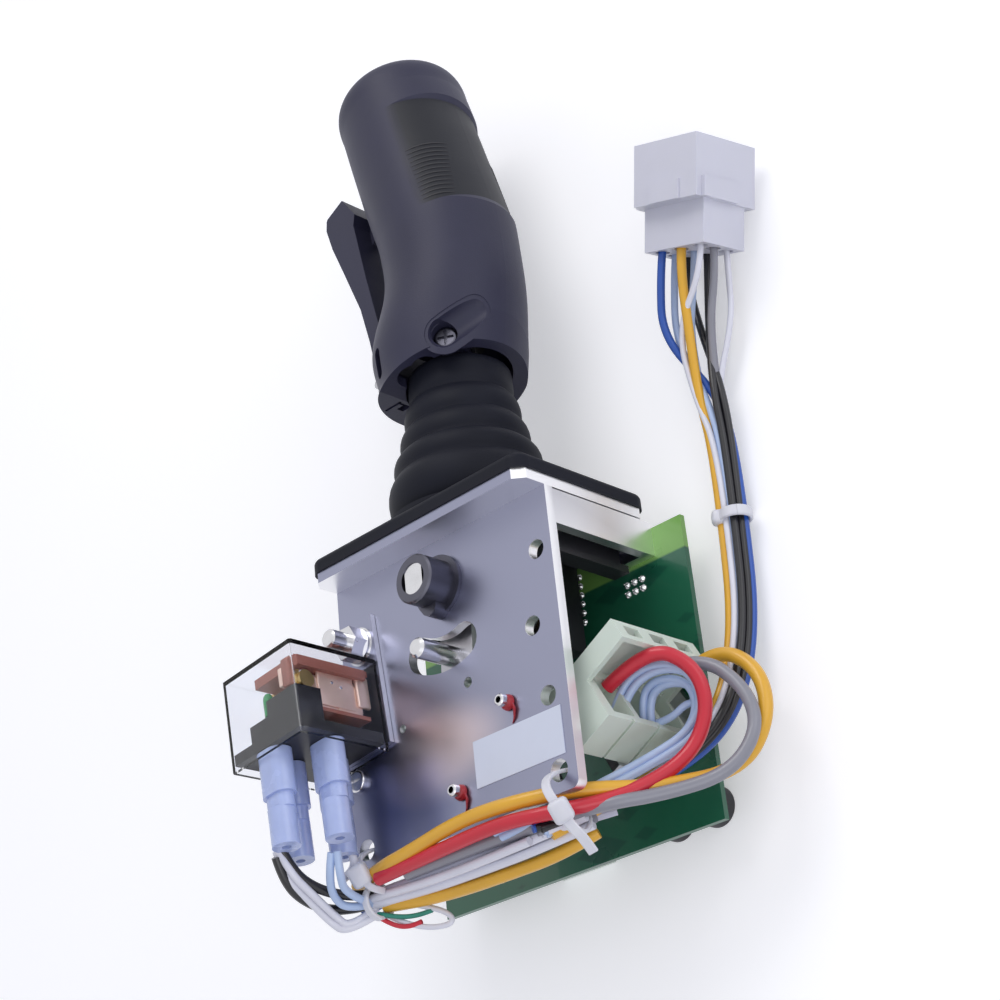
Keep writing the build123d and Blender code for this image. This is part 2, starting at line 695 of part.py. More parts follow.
def grip_cap():
    rim = CAP_PROFILE[0][0]
    outer = Spline(*CAP_PROFILE, tangents=[(0, 1), (-1, 0)])
    inner = Spline(*[(max(r - 2.4, 0), y - (2.4 if r < 18.5 else 0)) for r, y in CAP_PROFILE if y != 4.0],
                   tangents=[(0, 1), (-1, 0)])
    face = make_face([outer, Line((0, CAP_TOP), (0, CAP_TOP - 2.4)), inner, Line((rim - 2.4, 0), (rim, 0))])
    return head_frame() * revolve(face, Axis.Y) - rocker_window(ROCKER_GAP)


def rocker_frame():
    return head_frame() * Pos(ROCKER_PIN[0], ROCKER_PIN[1], 0)


def rocker_window(grow):
    return rocker_frame() * Pos(0, 4.0, 0) * Box(17 + 2 * grow, 14, 11 + 2 * grow)


def thumb_rocker():
    r = box(-8.2, 8.2, 2.6, 7.3, -5.2, 5.2)
    r = fillet(r.edges().filter_by(Axis.Z), 1.6)
    r -= Pos(0, 36.2, 0) * Cylinder(30.0, 12)
    r += box(-3.0, 3.0, -1.0, 3.0, -5.2, 5.2)
    r -= Cylinder(1.05, 14)
    return rocker_frame() * r


def rocker_cradle():
    c = box(-2.6, 2.6, -3.6, 1.0, -7.2, -5.6) + box(-2.6, 2.6, -3.6, 1.0, 5.6, 7.2)
    c += ycyl(-ROCKER_PIN[0], 0, -5.4, -3.6, CAP_PROFILE[0][0] - 2.5)
    c += Cylinder(1.0, 14.2)
    return rocker_frame() * c


def grip_core():
    return ycyl(0, 0, 58.2, ROD_TOP, 8.0) - ycyl(0, 0, 50, ROD_TOP + 1, ROD_R)


def grip_screw():
    top = SCREW_SEAT + 2.0
    s = fillet(xcyl(SCREW_SEAT, top, SCREW_HEAD_R).edges().group_by(Axis.X)[-1], 0.8)
    s += xcyl(ROD_R + 0.3, SCREW_SEAT, SCREW_R)
    s -= box(top - 0.8, top + 1, -2.2, 2.2, -0.4, 0.4)
    s -= box(top - 0.8, top + 1, -0.4, 0.4, -2.2, 2.2)
    return screw_line() * s


# Trigger, on a pin across the lower end of its pocket


def trigger():
    pts = [(-17.2, 50.2), (-16.6, 56.0), (-20.4, 72.0), (-24.2, 90.0), (-27.6, 109.0), (-26.8, 112.4),
           (-31.6, 119.6), (-38.6, 116.6), (-39.0, 113.0), (-37.0, 105.8), (-32.8, 95.1), (-27.3, 80.8),
           (-24.6, 69.0), (-22.8, 58.0), (-22.6, 51.0), (-20.8, 49.4)]
    t = Pos(0, 0, -TRIG_HALF) * extrude(make_face(Polyline(*pts, close=True)), 2 * TRIG_HALF)
    t = fillet(t.edges().filter_by(Axis.Z).sort_by(Axis.X)[:4], 1.4)
    tip = SWITCH_AT[0] - 8.0 - 6.6
    nose = Polyline((-30, 104), (-27, 115), (tip, 113), (tip, 109.5), (-27, 104), close=True)
    t += Pos(0, 0, -2.0) * extrude(make_face(nose), 4.0)
    return t - zcyl(TRIG[0], TRIG[1], -10, 10, 1.55)


def trigger_pin():
    return zcyl(TRIG[0], TRIG[1], -11.2, 11.2, 1.5)


def trigger_switch():
    x, y = SWITCH_AT
    return box(x - 8.0, x + 8.0, y - 7.0, y + 7.0, -4.0, 4.0)


# Cords. Each route gives its bends, and a radius comes from the shorter run and half the turn.

def radii(points, name):
    out = []
    for a, b, c in zip(points, points[1:], points[2:]):
        u = (Vector(*b) - Vector(*a))
        v = (Vector(*c) - Vector(*b))
        turn = math.radians(u.get_angle(v))
        r = 0.45 * min(u.length, v.length) / math.tan(turn / 2)
        out.append(r)
    print(name, "bend radii", [round(r, 1) for r in out])
    return out


def cord(points, r, name):
    path = FilletPolyline(*points, radius=radii(points, name))
    solid = sweep(Plane(origin=path @ 0, z_dir=path % 0) * Circle(r), path=path)
    print(name, "length", round(path.length, 1), "volume", round(solid.volume, 1),
          "expected", round(path.length * math.pi * r * r, 1))
    return solid


def harness_bundle():
    pts = [(24.2, -84.9, 13.0), (47.0, -78.0, -11.0), (61.0, -52.0, -29.9), (60.2, 8.0, -29.9),
           (58.9, 43.5, -26.8), (65.3, 62.0, -23.1)]
    return cord(pts, 4.5, "harness_bundle")


def harness_run():
    pts = [(21.0, -84.8, 14.0), (-6.0, -83.8, 14.8), (-37.0, -84.2, 13.8)]
    return cord(pts, 3.6, "harness_run")


def relay_leads():
    out = []
    for i, (bx, bz) in enumerate(BLADES):
        p = (RELAY * Pos(bx, -HH - 15.0, bz)).position
        a = (p.X, p.Y, p.Z)
        q = (RELAY * Pos(bx, -HH - 31.0, bz)).position
        c = (-32.0 + 3.0 * i, -90.8, 15.0 + 1.0 * (i % 2))
        out.append(cord([a, (q.X, q.Y, q.Z), c], 1.0, "relay_leads_%d" % i))
    return out


def loop_wires():
    routes = [
        [(37.0, -51.6, -0.6), (57.0, -50.0, -5.0), (63.0, -60.0, -6.0), (58.0, -71.0, -3.0),
         (44.0, -80.0, 5.0)],
        [(48.8, -47.6, -12.0), (62.0, -49.0, -13.0), (71.0, -60.0, -12.0), (67.0, -75.0, -7.0),
         (51.0, -84.0, 2.0)],
        [(51.0, -46.3, -18.5), (64.0, -46.0, -17.0), (75.0, -58.0, -15.0), (72.0, -75.0, -10.0),
         (56.0, -86.0, -2.0)],
    ]
    return [cord(r, 1.3, "loop_wires_%d" % i) for i, r in enumerate(routes)]


PLUG = Pos(65.5, 62.6, -23.0) * Rot(Z=-19) * Rot(X=10)
PLUG_NECK = (19.9, 11.3, 15.9)
PLUG_BODY = (21.1, 16.2, 22.9)
PLUG_WALL = 1.8
PLUG_FLOOR = 17.6
PIN_PITCH = (6.35, 5.0)


def plug_pins():
    return [(i * PIN_PITCH[0], j * PIN_PITCH[1]) for i in (-1, 0, 1) for j in (-1, 0, 1)]


def plug_housing():
    w, neck, d = PLUG_NECK
    bw, body, bd = PLUG_BODY
    p = box(-w / 2, w / 2, 0, neck, -d / 2, d / 2)
    p += box(-bw / 2, bw / 2, neck, neck + body, -bd / 2, bd / 2)
    p += box(-bw / 2 - 1.0, bw / 2 + 1.2, neck, neck + 5.2, -3.5, bd / 2 - 2.0)
    p += box(-5, 5, neck, neck + 5, bd / 2, bd / 2 + 0.6)
    p -= box(-bw / 2 + PLUG_WALL, bw / 2 - PLUG_WALL, PLUG_FLOOR, neck + body + 1, -bd / 2 + PLUG_WALL,
             bd / 2 - PLUG_WALL)
    for x, z in plug_pins():
        p -= ycyl(x, z, -1, PLUG_FLOOR + 1, 1.9)
    return PLUG * p


def plug_terminals():
    return [PLUG * ycyl(x, z, 4.0, PLUG_FLOOR, 1.1) for x, z in plug_pins()]


def tie_ring(x, y, z, rad, axis, head):
    ring = Cylinder(rad + 1.3, 4.6) - Cylinder(rad, 6)
    ring += Pos(rad + 2.2, 0, 0) * Box(4.4, 5.4, 5.0) - Cylinder(rad, 6)
    return Pos(x, y, z) * Rot(*axis) * Rot(Z=head) * ring


def harness_ties():
    return [tie_ring(60.36, -4.0, -29.9, 4.62, (90, 0, 0), 60)]


def frame_ties():
    out = []
    for (hx, hy), head in ((TIE_HOLE_R, 0), (TIE_HOLE_L, 0)):
        strap = box(hx - 1.6, hx + 1.6, -79.4, hy - 1.0, FACE_FRONT, FACE_FRONT + 1.2)
        strap += box(hx - 1.6, hx + 1.6, hy - 1.0, hy + 0.2, 9.0, FACE_FRONT + 1.2)
        strap += box(hx - 1.6, hx + 1.6, -79.4, hy - 1.0, 9.0, 10.2)
        strap += box(hx - 1.6, hx + 1.6, -79.4, -78.3, 9.0, FACE_FRONT + 1.2)
        out.append(strap)
    return out


def main():
    save(top_plate(), "top_plate")
    save(frame_bracket(), "frame_bracket")
    save(boot_flange(), "boot_flange")
    save(boot_bellows(), "boot_bellows")
    save(pivot_bush_front(), "pivot_bush_front")
    save(pivot_housing(), "pivot_housing")
    save(pivot_bush_rear(), "pivot_bush_rear")
    save(housing_screws(), "housing_screws")
    save(spring_anchor(), "spring_anchor")
    save(centring_spring(), "centring_spring")
    save(position_sensor(), "position_sensor")
    save(circuit_board(), "circuit_board")
    save(board_screws(), "board_screws")
    save(board_standoffs(), "board_standoffs")
    save(standoff_screws(), "standoff_screws")
    save(board_capacitors(), "board_capacitors")
    save(board_blocks(), "board_blocks")
    save(board_chips(), "board_chips")
    save(neutral_switch(), "neutral_switch")
    save(switch_screws(), "switch_screws")
    save(switch_lever(), "switch_lever")
    save(board_plug(), "board_plug")
    save(board_header(), "board_header")
    save(relay_cover(), "relay_cover")
    save(relay_base(), "relay_base")
    save(relay_tab(), "relay_tab")
    save(relay_coil(), "relay_coil")
    save(relay_bobbin(), "relay_bobbin")
    save(relay_contacts(), "relay_contacts")
    save(relay_lamp(), "relay_lamp")
    save(relay_terminals(), "relay_terminals")
    save(terminal_sleeves(), "terminal_sleeves")
    save(relay_stud(), "relay_stud")
    save(relay_nut(), "relay_nut")
    save(relay_washers(), "relay_washers")
    save(label_plate(), "label_plate")
    save(frame_ties(), "frame_ties")
    save(harness_bundle(), "harness_bundle")
    save(harness_run(), "harness_run")
    save(relay_leads(), "relay_leads")
    save(loop_wires(), "loop_wires")
    save(plug_housing(), "plug_housing")
    save(plug_terminals(), "plug_terminals")
    save(harness_ties(), "harness_ties")
    save(pivot_shaft(), "pivot_shaft")
    save(lever_hub(), "lever_hub")
    save(lever_rod(), "lever_rod")
    save(limit_pin(), "limit_pin")
    front, back = grip_halves()
    save(front, "grip_half_front")
    save(back, "grip_half_back")
    save(grip_cap(), "grip_cap")
    save(grip_core(), "grip_core")
    save(grip_screw(), "grip_screw")
    save(rocker_cradle(), "rocker_cradle")
    save(trigger_pin(), "trigger_pin")
    save(trigger_switch(), "trigger_switch")
    save(trigger(), "trigger")
    save(thumb_rocker(), "thumb_rocker")


main()
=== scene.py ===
"""Industrial joystick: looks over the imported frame.

Pieces are placed in millimetres in the frame's own directions and scaled by MM when they are made.
"""
import math

import bmesh
import bpy
from mathutils import Matrix, Vector


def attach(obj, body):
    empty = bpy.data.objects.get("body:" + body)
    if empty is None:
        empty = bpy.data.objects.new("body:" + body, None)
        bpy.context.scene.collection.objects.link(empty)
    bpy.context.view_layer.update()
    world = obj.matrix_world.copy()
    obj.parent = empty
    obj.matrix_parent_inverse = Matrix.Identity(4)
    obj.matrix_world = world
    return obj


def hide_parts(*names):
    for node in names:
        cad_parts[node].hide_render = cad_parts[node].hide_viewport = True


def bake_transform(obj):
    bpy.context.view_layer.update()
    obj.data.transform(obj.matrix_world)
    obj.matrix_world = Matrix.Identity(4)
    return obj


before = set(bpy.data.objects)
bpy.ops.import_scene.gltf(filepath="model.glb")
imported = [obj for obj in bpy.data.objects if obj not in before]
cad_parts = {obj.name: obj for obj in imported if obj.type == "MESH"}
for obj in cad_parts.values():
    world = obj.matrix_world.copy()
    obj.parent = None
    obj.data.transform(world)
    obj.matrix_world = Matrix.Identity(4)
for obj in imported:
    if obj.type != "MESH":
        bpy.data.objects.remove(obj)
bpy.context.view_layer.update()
MM = 0.001


# Materials


def material(name, color, rough=0.5, metal=0.0, mottle=0.1, patch=60.0, grain=900.0, bump=0.1,
             vary=0.08, wear=None, coat=0.0, glassy=0.0, ior=1.46, soft=0.0, depth=0.00012, shine=0.5):
    m = bpy.data.materials.new(name)
    m.use_nodes = True
    nt = m.node_tree
    b = nt.nodes["Principled BSDF"]
    at = nt.nodes.new("ShaderNodeTexCoord")
    big = nt.nodes.new("ShaderNodeTexNoise")
    big.inputs["Scale"].default_value = patch
    big.inputs["Detail"].default_value = 5
    nt.links.new(at.outputs["Object"], big.inputs["Vector"])
    mix = nt.nodes.new("ShaderNodeMix")
    mix.data_type = "RGBA"
    mix.inputs["A"].default_value = (*[max(0.0, c * (1 - mottle)) for c in color], 1)
    mix.inputs["B"].default_value = (*[min(1.0, c * (1 + mottle)) for c in color], 1)
    nt.links.new(big.outputs["Fac"], mix.inputs["Factor"])
    out = mix.outputs["Result"]
    if wear:
        geo = nt.nodes.new("ShaderNodeNewGeometry")
        ramp = nt.nodes.new("ShaderNodeMapRange")
        ramp.inputs["From Min"].default_value = 0.52
        ramp.inputs["From Max"].default_value = 0.60
        nt.links.new(geo.outputs["Pointiness"], ramp.inputs["Value"])
        edge = nt.nodes.new("ShaderNodeMix")
        edge.data_type = "RGBA"
        edge.inputs["B"].default_value = (*wear, 1)
        nt.links.new(ramp.outputs["Result"], edge.inputs["Factor"])
        nt.links.new(out, edge.inputs["A"])
        out = edge.outputs["Result"]
    nt.links.new(out, b.inputs["Base Color"])
    fine = nt.nodes.new("ShaderNodeTexNoise")
    fine.inputs["Scale"].default_value = grain
    fine.inputs["Detail"].default_value = 3
    nt.links.new(at.outputs["Object"], fine.inputs["Vector"])
    bp = nt.nodes.new("ShaderNodeBump")
    bp.inputs["Strength"].default_value = bump
    bp.inputs["Distance"].default_value = depth
    nt.links.new(fine.outputs["Fac"], bp.inputs["Height"])
    nt.links.new(bp.outputs["Normal"], b.inputs["Normal"])
    rg = nt.nodes.new("ShaderNodeMapRange")
    rg.inputs["To Min"].default_value = max(0.02, rough - vary)
    rg.inputs["To Max"].default_value = min(1.0, rough + vary)
    nt.links.new(big.outputs["Fac"], rg.inputs["Value"])
    nt.links.new(rg.outputs["Result"], b.inputs["Roughness"])
    b.inputs["Metallic"].default_value = metal
    b.inputs["IOR"].default_value = ior
    b.inputs["Specular IOR Level"].default_value = shine
    b.inputs["Coat Weight"].default_value = coat
    b.inputs["Transmission Weight"].default_value = glassy
    if soft:
        b.inputs["Subsurface Weight"].default_value = soft
        b.inputs["Subsurface Radius"].default_value = (0.004, 0.004, 0.0045)
    return m


def rolled(name, color, rough):
    # Zinc-plated sheet: rolling lines along X, soft patches and a faint spangle
    m = material(name, color, rough=rough, metal=1.0, mottle=0.07, patch=38.0, grain=2600.0, bump=0.10,
                 vary=0.09, wear=(0.9, 0.9, 0.92))
    nt = m.node_tree
    b = nt.nodes["Principled BSDF"]
    at = next(n for n in nt.nodes if n.type == "TEX_COORD")
    st = nt.nodes.new("ShaderNodeMapping")
    st.inputs["Scale"].default_value = (60, 2200, 2200)
    nt.links.new(at.outputs["Object"], st.inputs["Vector"])
    lines = nt.nodes.new("ShaderNodeTexNoise")
    lines.inputs["Scale"].default_value = 1.0
    lines.inputs["Detail"].default_value = 4
    nt.links.new(st.outputs["Vector"], lines.inputs["Vector"])
    b2 = nt.nodes.new("ShaderNodeBump")
    b2.inputs["Strength"].default_value = 0.05
    b2.inputs["Distance"].default_value = 0.0001
    nt.links.new(lines.outputs["Fac"], b2.inputs["Height"])
    old = next(n for n in nt.nodes if n.type == "BUMP" and n is not b2)
    nt.links.new(old.outputs["Normal"], b2.inputs["Normal"])
    nt.links.new(b2.outputs["Normal"], b.inputs["Normal"])
    return m


def tinted(m, color, mask):
    # lays one more colour over a material's base colour, where the mask says
    nt = m.node_tree
    base = nt.nodes["Principled BSDF"].inputs["Base Color"]
    mix = nt.nodes.new("ShaderNodeMix")
    mix.data_type = "RGBA"
    mix.inputs["B"].default_value = (*color, 1)
    nt.links.new(base.links[0].from_socket, mix.inputs["A"])
    nt.links.new(mask(nt), mix.inputs["Factor"])
    nt.links.new(mix.outputs["Result"], base)
    return m


def painted_light_patch(centre, reach, strength):
    # soft round patch for painted shade and painted highlights: 1 in the middle, 0 at its reach, in
    # millimetres
    def mask(nt):
        at = nt.nodes.new("ShaderNodeTexCoord")
        move = nt.nodes.new("ShaderNodeMapping")
        move.vector_type = "TEXTURE"
        move.inputs["Location"].default_value = [c * MM for c in centre]
        move.inputs["Scale"].default_value = [r * MM for r in reach]
        ball = nt.nodes.new("ShaderNodeTexGradient")
        ball.gradient_type = "SPHERICAL"
        soft = nt.nodes.new("ShaderNodeMapRange")
        soft.interpolation_type = "SMOOTHSTEP"
        soft.inputs["To Max"].default_value = strength
        nt.links.new(at.outputs["Object"], move.inputs["Vector"])
        nt.links.new(move.outputs["Vector"], ball.inputs["Vector"])
        nt.links.new(ball.outputs["Fac"], soft.inputs["Value"])
        return soft.outputs["Result"]
    return mask


def painted_reflection_mask(strength):
    # 1 on the bracket's front face, where a blue painted reflection is laid
    def mask(nt):
        geo = nt.nodes.new("ShaderNodeNewGeometry")
        sep = nt.nodes.new("ShaderNodeSeparateXYZ")
        soft = nt.nodes.new("ShaderNodeMapRange")
        soft.inputs["From Min"].default_value = 0.7
        soft.inputs["From Max"].default_value = 1.0
        soft.inputs["To Max"].default_value = strength
        nt.links.new(geo.outputs["Normal"], sep.inputs["Vector"])
        nt.links.new(sep.outputs["Z"], soft.inputs["Value"])
        return soft.outputs["Result"]
    return mask


ZINC = rolled("zinc_sheet", (0.40, 0.40, 0.44), 0.32)
# painted reflection: the sheet's faces that look to the front get a blue tint
tinted(ZINC, (0.30, 0.31, 0.42), painted_reflection_mask(1.0))
# painted shade: a dark blue patch laid on the zinc sheet's front face
tinted(ZINC, (0.12, 0.13, 0.22), painted_light_patch((-28, -66, 14.3), (34, 26, 30), 0.75))
# painted highlight: a pale pink patch, a painted reflection, on the zinc sheet's front face
tinted(ZINC, (1.0, 0.84, 0.88), painted_light_patch((-5, -57, 14.3), (27, 14, 20), 1.0))
BUSH = material("bearing_steel", (0.11, 0.11, 0.14), rough=0.36, metal=1.0, patch=400, grain=2500, bump=0.1)
BRIGHT = material("bright_steel", (0.66, 0.66, 0.69), rough=0.24, metal=1.0, patch=300, grain=1800, bump=0.06)
STEEL = material("turned_steel", (0.46, 0.46, 0.50), rough=0.33, metal=1.0, patch=400, grain=2500, bump=0.1)
BRASS = material("worn_brass", (0.62, 0.46, 0.20), rough=0.32, metal=1.0, patch=200, grain=1500, bump=0.1)
RUBBER = material("boot_rubber", (0.008, 0.009, 0.016), rough=0.55, mottle=0.25, patch=90, grain=1600,
                  bump=0.22, vary=0.08, shine=0.16)
GRIP = material("grip_plastic", (0.026, 0.026, 0.054), rough=0.50, mottle=0.2, patch=70, grain=2600,
                bump=0.30, vary=0.07, shine=0.36)
PANEL = material("grip_panel", (0.016, 0.016, 0.022), rough=0.42, mottle=0.2, patch=70, grain=2200, bump=0.15)
BLACK = material("black_plastic", (0.018, 0.018, 0.022), rough=0.36, mottle=0.2, patch=150, grain=1700,
                 bump=0.1)
CHIP = material("chip_resin", (0.030, 0.030, 0.034), rough=0.55, mottle=0.2, patch=300, grain=2600, bump=0.25)
NYLON = material("white_nylon", (0.68, 0.68, 0.76), rough=0.36, mottle=0.04, patch=90, grain=900, bump=0.06,
                 soft=0.6)
PLUG = material("plug_nylon", (0.66, 0.74, 0.66), rough=0.40, mottle=0.06, patch=90, grain=900, bump=0.06,
                soft=0.5)
TIE = material("tie_nylon", (0.74, 0.74, 0.79), rough=0.34, mottle=0.05, patch=150, grain=1500, bump=0.08,
               soft=0.5)
CLEAR = material("clear_cover", (0.93, 0.94, 0.97), rough=0.05, mottle=0.02, patch=120, grain=700, bump=0.02,
                 vary=0.03, glassy=1.0, ior=1.30)
SLEEVE = material("blue_vinyl", (0.43, 0.51, 0.80), rough=0.26, mottle=0.12, patch=160, grain=1200, bump=0.08,
                  soft=0.35, coat=0.3)
COPPER = material("copper_wire", (0.95, 0.68, 0.58), rough=0.34, metal=0.6, patch=260, grain=1800, bump=0.2)
BOBBIN = material("bobbin", (0.36, 0.13, 0.10), rough=0.4, patch=200, grain=1500, bump=0.1)
LABEL = material("label_film", (0.68, 0.72, 0.84), rough=0.38, mottle=0.05, patch=70, grain=1500, bump=0.05)
LOCK = material("thread_lock", (0.36, 0.02, 0.03), rough=0.35, mottle=0.3, patch=900, grain=1500, bump=0.3)
SOLDER = material("solder", (0.80, 0.80, 0.82), rough=0.22, metal=0.9, patch=900, grain=2500, bump=0.2)
GREEN_LAMP = material("green_lamp", (0.02, 0.33, 0.10), rough=0.2, patch=500, grain=1500, bump=0.1, soft=0.3)


def board_material():
    m = material("solder_mask", (0.008, 0.085, 0.048), rough=0.30, mottle=0.10, patch=50, grain=1200,
                 bump=0.08, coat=0.4)
    nt = m.node_tree
    b = nt.nodes["Principled BSDF"]
    at = next(n for n in nt.nodes if n.type == "TEX_COORD")
    src = b.inputs["Base Color"].links[0].from_socket
    # copper tracks under the mask: cells stretched along X and Y, seen as slightly paler bands
    turn = nt.nodes.new("ShaderNodeMapping")
    turn.inputs["Scale"].default_value = (55, 120, 1)
    nt.links.new(at.outputs["Object"], turn.inputs["Vector"])
    cell = nt.nodes.new("ShaderNodeTexVoronoi")
    cell.distance = "MANHATTAN"
    cell.feature = "F1"
    cell.inputs["Scale"].default_value = 1.0
    nt.links.new(turn.outputs["Vector"], cell.inputs["Vector"])
    line = nt.nodes.new("ShaderNodeMapRange")
    line.inputs["From Min"].default_value = 0.42
    line.inputs["From Max"].default_value = 0.50
    line.inputs["To Max"].default_value = 0.45
    nt.links.new(cell.outputs["Distance"], line.inputs["Value"])
    mix = nt.nodes.new("ShaderNodeMix")
    mix.data_type = "RGBA"
    mix.inputs["B"].default_value = (0.02, 0.16, 0.08, 1)
    nt.links.new(line.outputs["Result"], mix.inputs["Factor"])
    nt.links.new(src, mix.inputs["A"])
    # the bare laminate border along the top edge
    sep = nt.nodes.new("ShaderNodeSeparateXYZ")
    nt.links.new(at.outputs["Object"], sep.inputs["Vector"])
    top = nt.nodes.new("ShaderNodeMapRange")
    top.inputs["From Min"].default_value = -0.0136
    top.inputs["From Max"].default_value = -0.0130
    nt.links.new(sep.outputs["Y"], top.inputs["Value"])
    rim = nt.nodes.new("ShaderNodeMix")
    rim.data_type = "RGBA"
    rim.inputs["B"].default_value = (0.20, 0.42, 0.10, 1)
    nt.links.new(top.outputs["Result"], rim.inputs["Factor"])
    nt.links.new(mix.outputs["Result"], rim.inputs["A"])
    nt.links.new(rim.outputs["Result"], b.inputs["Base Color"])
    return m


BOARD = board_material()


def insulation(name, color):
    return material("wire_" + name, color, rough=0.34, mottle=0.08, patch=140, grain=1600, bump=0.06,
                    vary=0.06, coat=0.2)


WIRE = {
    "yellow": insulation("yellow", (0.78, 0.42, 0.035)),
    "red": insulation("red", (0.60, 0.018, 0.040)),
    "grey": insulation("grey", (0.26, 0.26, 0.30)),
    "white": insulation("white", (0.76, 0.76, 0.84)),
    "sky": insulation("sky", (0.46, 0.58, 0.82)),
    "lilac": insulation("lilac", (0.50, 0.50, 0.62)),
    "black": insulation("black", (0.012, 0.012, 0.016)),
    "blue": insulation("blue", (0.02, 0.09, 0.42)),
    "green": insulation("green", (0.02, 0.25, 0.18)),
}


def paint(mat, *nodes):
    for n in nodes:
        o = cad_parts[n]
        if not o.data.materials:
            o.data.materials.append(mat)
        for i in range(len(o.data.materials)):
            o.data.materials[i] = mat


paint(ZINC, "top_plate", "frame_bracket")
paint(RUBBER, "boot_flange", "boot_bellows")
paint(GRIP, "grip_half_front", "grip_half_back", "grip_cap", "trigger", "thumb_rocker")
paint(BLACK, "rocker_cradle", "trigger_switch", "neutral_switch", "relay_base", "pivot_housing",
      "position_sensor", "grip_core")
paint(ZINC, "relay_tab")
paint(BRIGHT, "pivot_shaft", "relay_stud", "relay_nut", "relay_washers", "switch_screws",
      "limit_pin", "standoff_screws", "plug_terminals", "relay_terminals")
paint(STEEL, "housing_screws", "lever_hub", "lever_rod", "spring_anchor", "centring_spring", "board_screws",
      "board_standoffs", "trigger_pin", "switch_lever", "board_header")
paint(BUSH, "pivot_bush_front", "grip_screw")
paint(BRASS, "pivot_bush_rear", "relay_contacts")
paint(BOARD, "circuit_board")
paint(CHIP, "board_capacitors", "board_chips")
paint(PLUG, "board_plug", "board_blocks")
paint(NYLON, "plug_housing")
paint(GREEN_LAMP, "relay_lamp")
paint(TIE, "frame_ties", "harness_ties")
paint(CLEAR, "relay_cover")
paint(COPPER, "relay_coil")
paint(BOBBIN, "relay_bobbin")
paint(SLEEVE, "terminal_sleeves")
paint(LABEL, "label_plate")


# Helpers for pieces


def link(o):
    bpy.context.scene.collection.objects.link(o)
    return o


def sharpen(me, angle=0.6):
    bm = bmesh.new()
    bm.from_mesh(me)
    for f in bm.faces:
        f.smooth = True
    for e in bm.edges:
        if len(e.link_faces) == 2 and e.calc_face_angle(0) > angle:
            e.smooth = False
    bm.to_mesh(me)
    bm.free()


def tube_faces(rows, k, capped=True):
    # faces between rows of k points each, with an end face at both ends
    faces = []
    for i in range(rows - 1):
        for j in range(k):
            faces.append((i * k + j, i * k + (j + 1) % k, (i + 1) * k + (j + 1) % k, (i + 1) * k + j))
    if capped:
        faces += [tuple(range(k))[::-1], tuple((rows - 1) * k + j for j in range(k))]
    return faces


def piece(name, verts, faces, mat, body="frame"):
    me = bpy.data.meshes.new(name)
    me.from_pydata([tuple(c * MM for c in v) for v in verts], [], faces)
    bm = bmesh.new()
    bm.from_mesh(me)
    bmesh.ops.recalc_face_normals(bm, faces=bm.faces)
    bm.to_mesh(me)
    bm.free()
    sharpen(me)
    me.materials.append(mat)
    o = link(bpy.data.objects.new(name, me))
    if body:
        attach(o, body)
    return o


def sweep(points, rings):
    # rings: one list of (a, b) offsets per point, on the path's own normal and binormal
    pts = [Vector(p) for p in points]
    verts = []
    n = (pts[1] - pts[0]).normalized().orthogonal().normalized()
    for i, p in enumerate(pts):
        t = (pts[min(i + 1, len(pts) - 1)] - pts[max(i - 1, 0)]).normalized()
        n = (n - t * n.dot(t)).normalized()
        b = t.cross(n)
        verts += [tuple(p + n * a + b * c) for a, c in rings[i]]
    return verts, tube_faces(len(pts), len(rings[0]))


def ring(r, n=20, flat=1.0):
    return [(r * math.cos(math.tau * j / n), flat * r * math.sin(math.tau * j / n)) for j in range(n)]


def lathe(name, profile, at, axis, mat, body="frame", n=40):
    # profile: (radius, distance along axis)
    a = Vector(axis).normalized()
    u = a.orthogonal().normalized()
    w = a.cross(u)
    verts = []
    for r, d in profile:
        for j in range(n):
            q = math.tau * j / n
            verts.append(tuple(Vector(at) + a * d + u * (r * math.cos(q)) + w * (r * math.sin(q))))
    return piece(name, verts, tube_faces(len(profile), n), mat, body)


def block(name, lo, hi, mat, body="frame", bevel=0.3, turn=None):
    # box between two corners with rounded edges, turned and moved by a matrix
    bm = bmesh.new()
    bmesh.ops.create_cube(bm, size=1.0)
    lo, hi = Vector(lo), Vector(hi)
    for v in bm.verts:
        v.co = Vector((lo[i] + (hi[i] - lo[i]) * (v.co[i] + 0.5)) for i in range(3))
    bmesh.ops.bevel(bm, geom=bm.edges[:] + bm.verts[:], offset=bevel, segments=3, profile=0.5,
                    affect="EDGES")
    if turn is not None:
        bmesh.ops.transform(bm, matrix=turn, verts=bm.verts)
    bmesh.ops.scale(bm, vec=(MM, MM, MM), verts=bm.verts)
    me = bpy.data.meshes.new(name)
    bm.to_mesh(me)
    bm.free()
    sharpen(me)
    me.materials.append(mat)
    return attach(link(bpy.data.objects.new(name, me)), body)


def thread(name, at, axis, r, length, mat, pitch=0.8, body="frame"):
    prof, d = [(r * 0.55, 0), (r * 0.84, 0.12)], 0.2
    while d < length:
        prof += [(r * 0.86, d), (r, d + pitch * 0.35), (r, d + pitch * 0.5), (r * 0.86, d + pitch * 0.85)]
        d += pitch
    return lathe(name, prof, at, axis, mat, body, n=28)


def wire(name, points, r, color, body="frame"):
    # round wire along a quadratic curve that starts and ends on the end points
    cu = bpy.data.curves.new(name, "CURVE")
    cu.dimensions = "3D"
    sp = cu.splines.new("NURBS")
    sp.points.add(len(points) - 1)
    for q, p in zip(sp.points, points):
        q.co = (*[c * MM for c in p], 1)
    sp.order_u = 3
    sp.use_endpoint_u = True
    sp.resolution_u = 16
    cu.bevel_depth = r * MM
    cu.bevel_resolution = 5
    cu.use_fill_caps = True
    cu.materials.append(WIRE[color])
    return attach(link(bpy.data.objects.new(name, cu)), body)


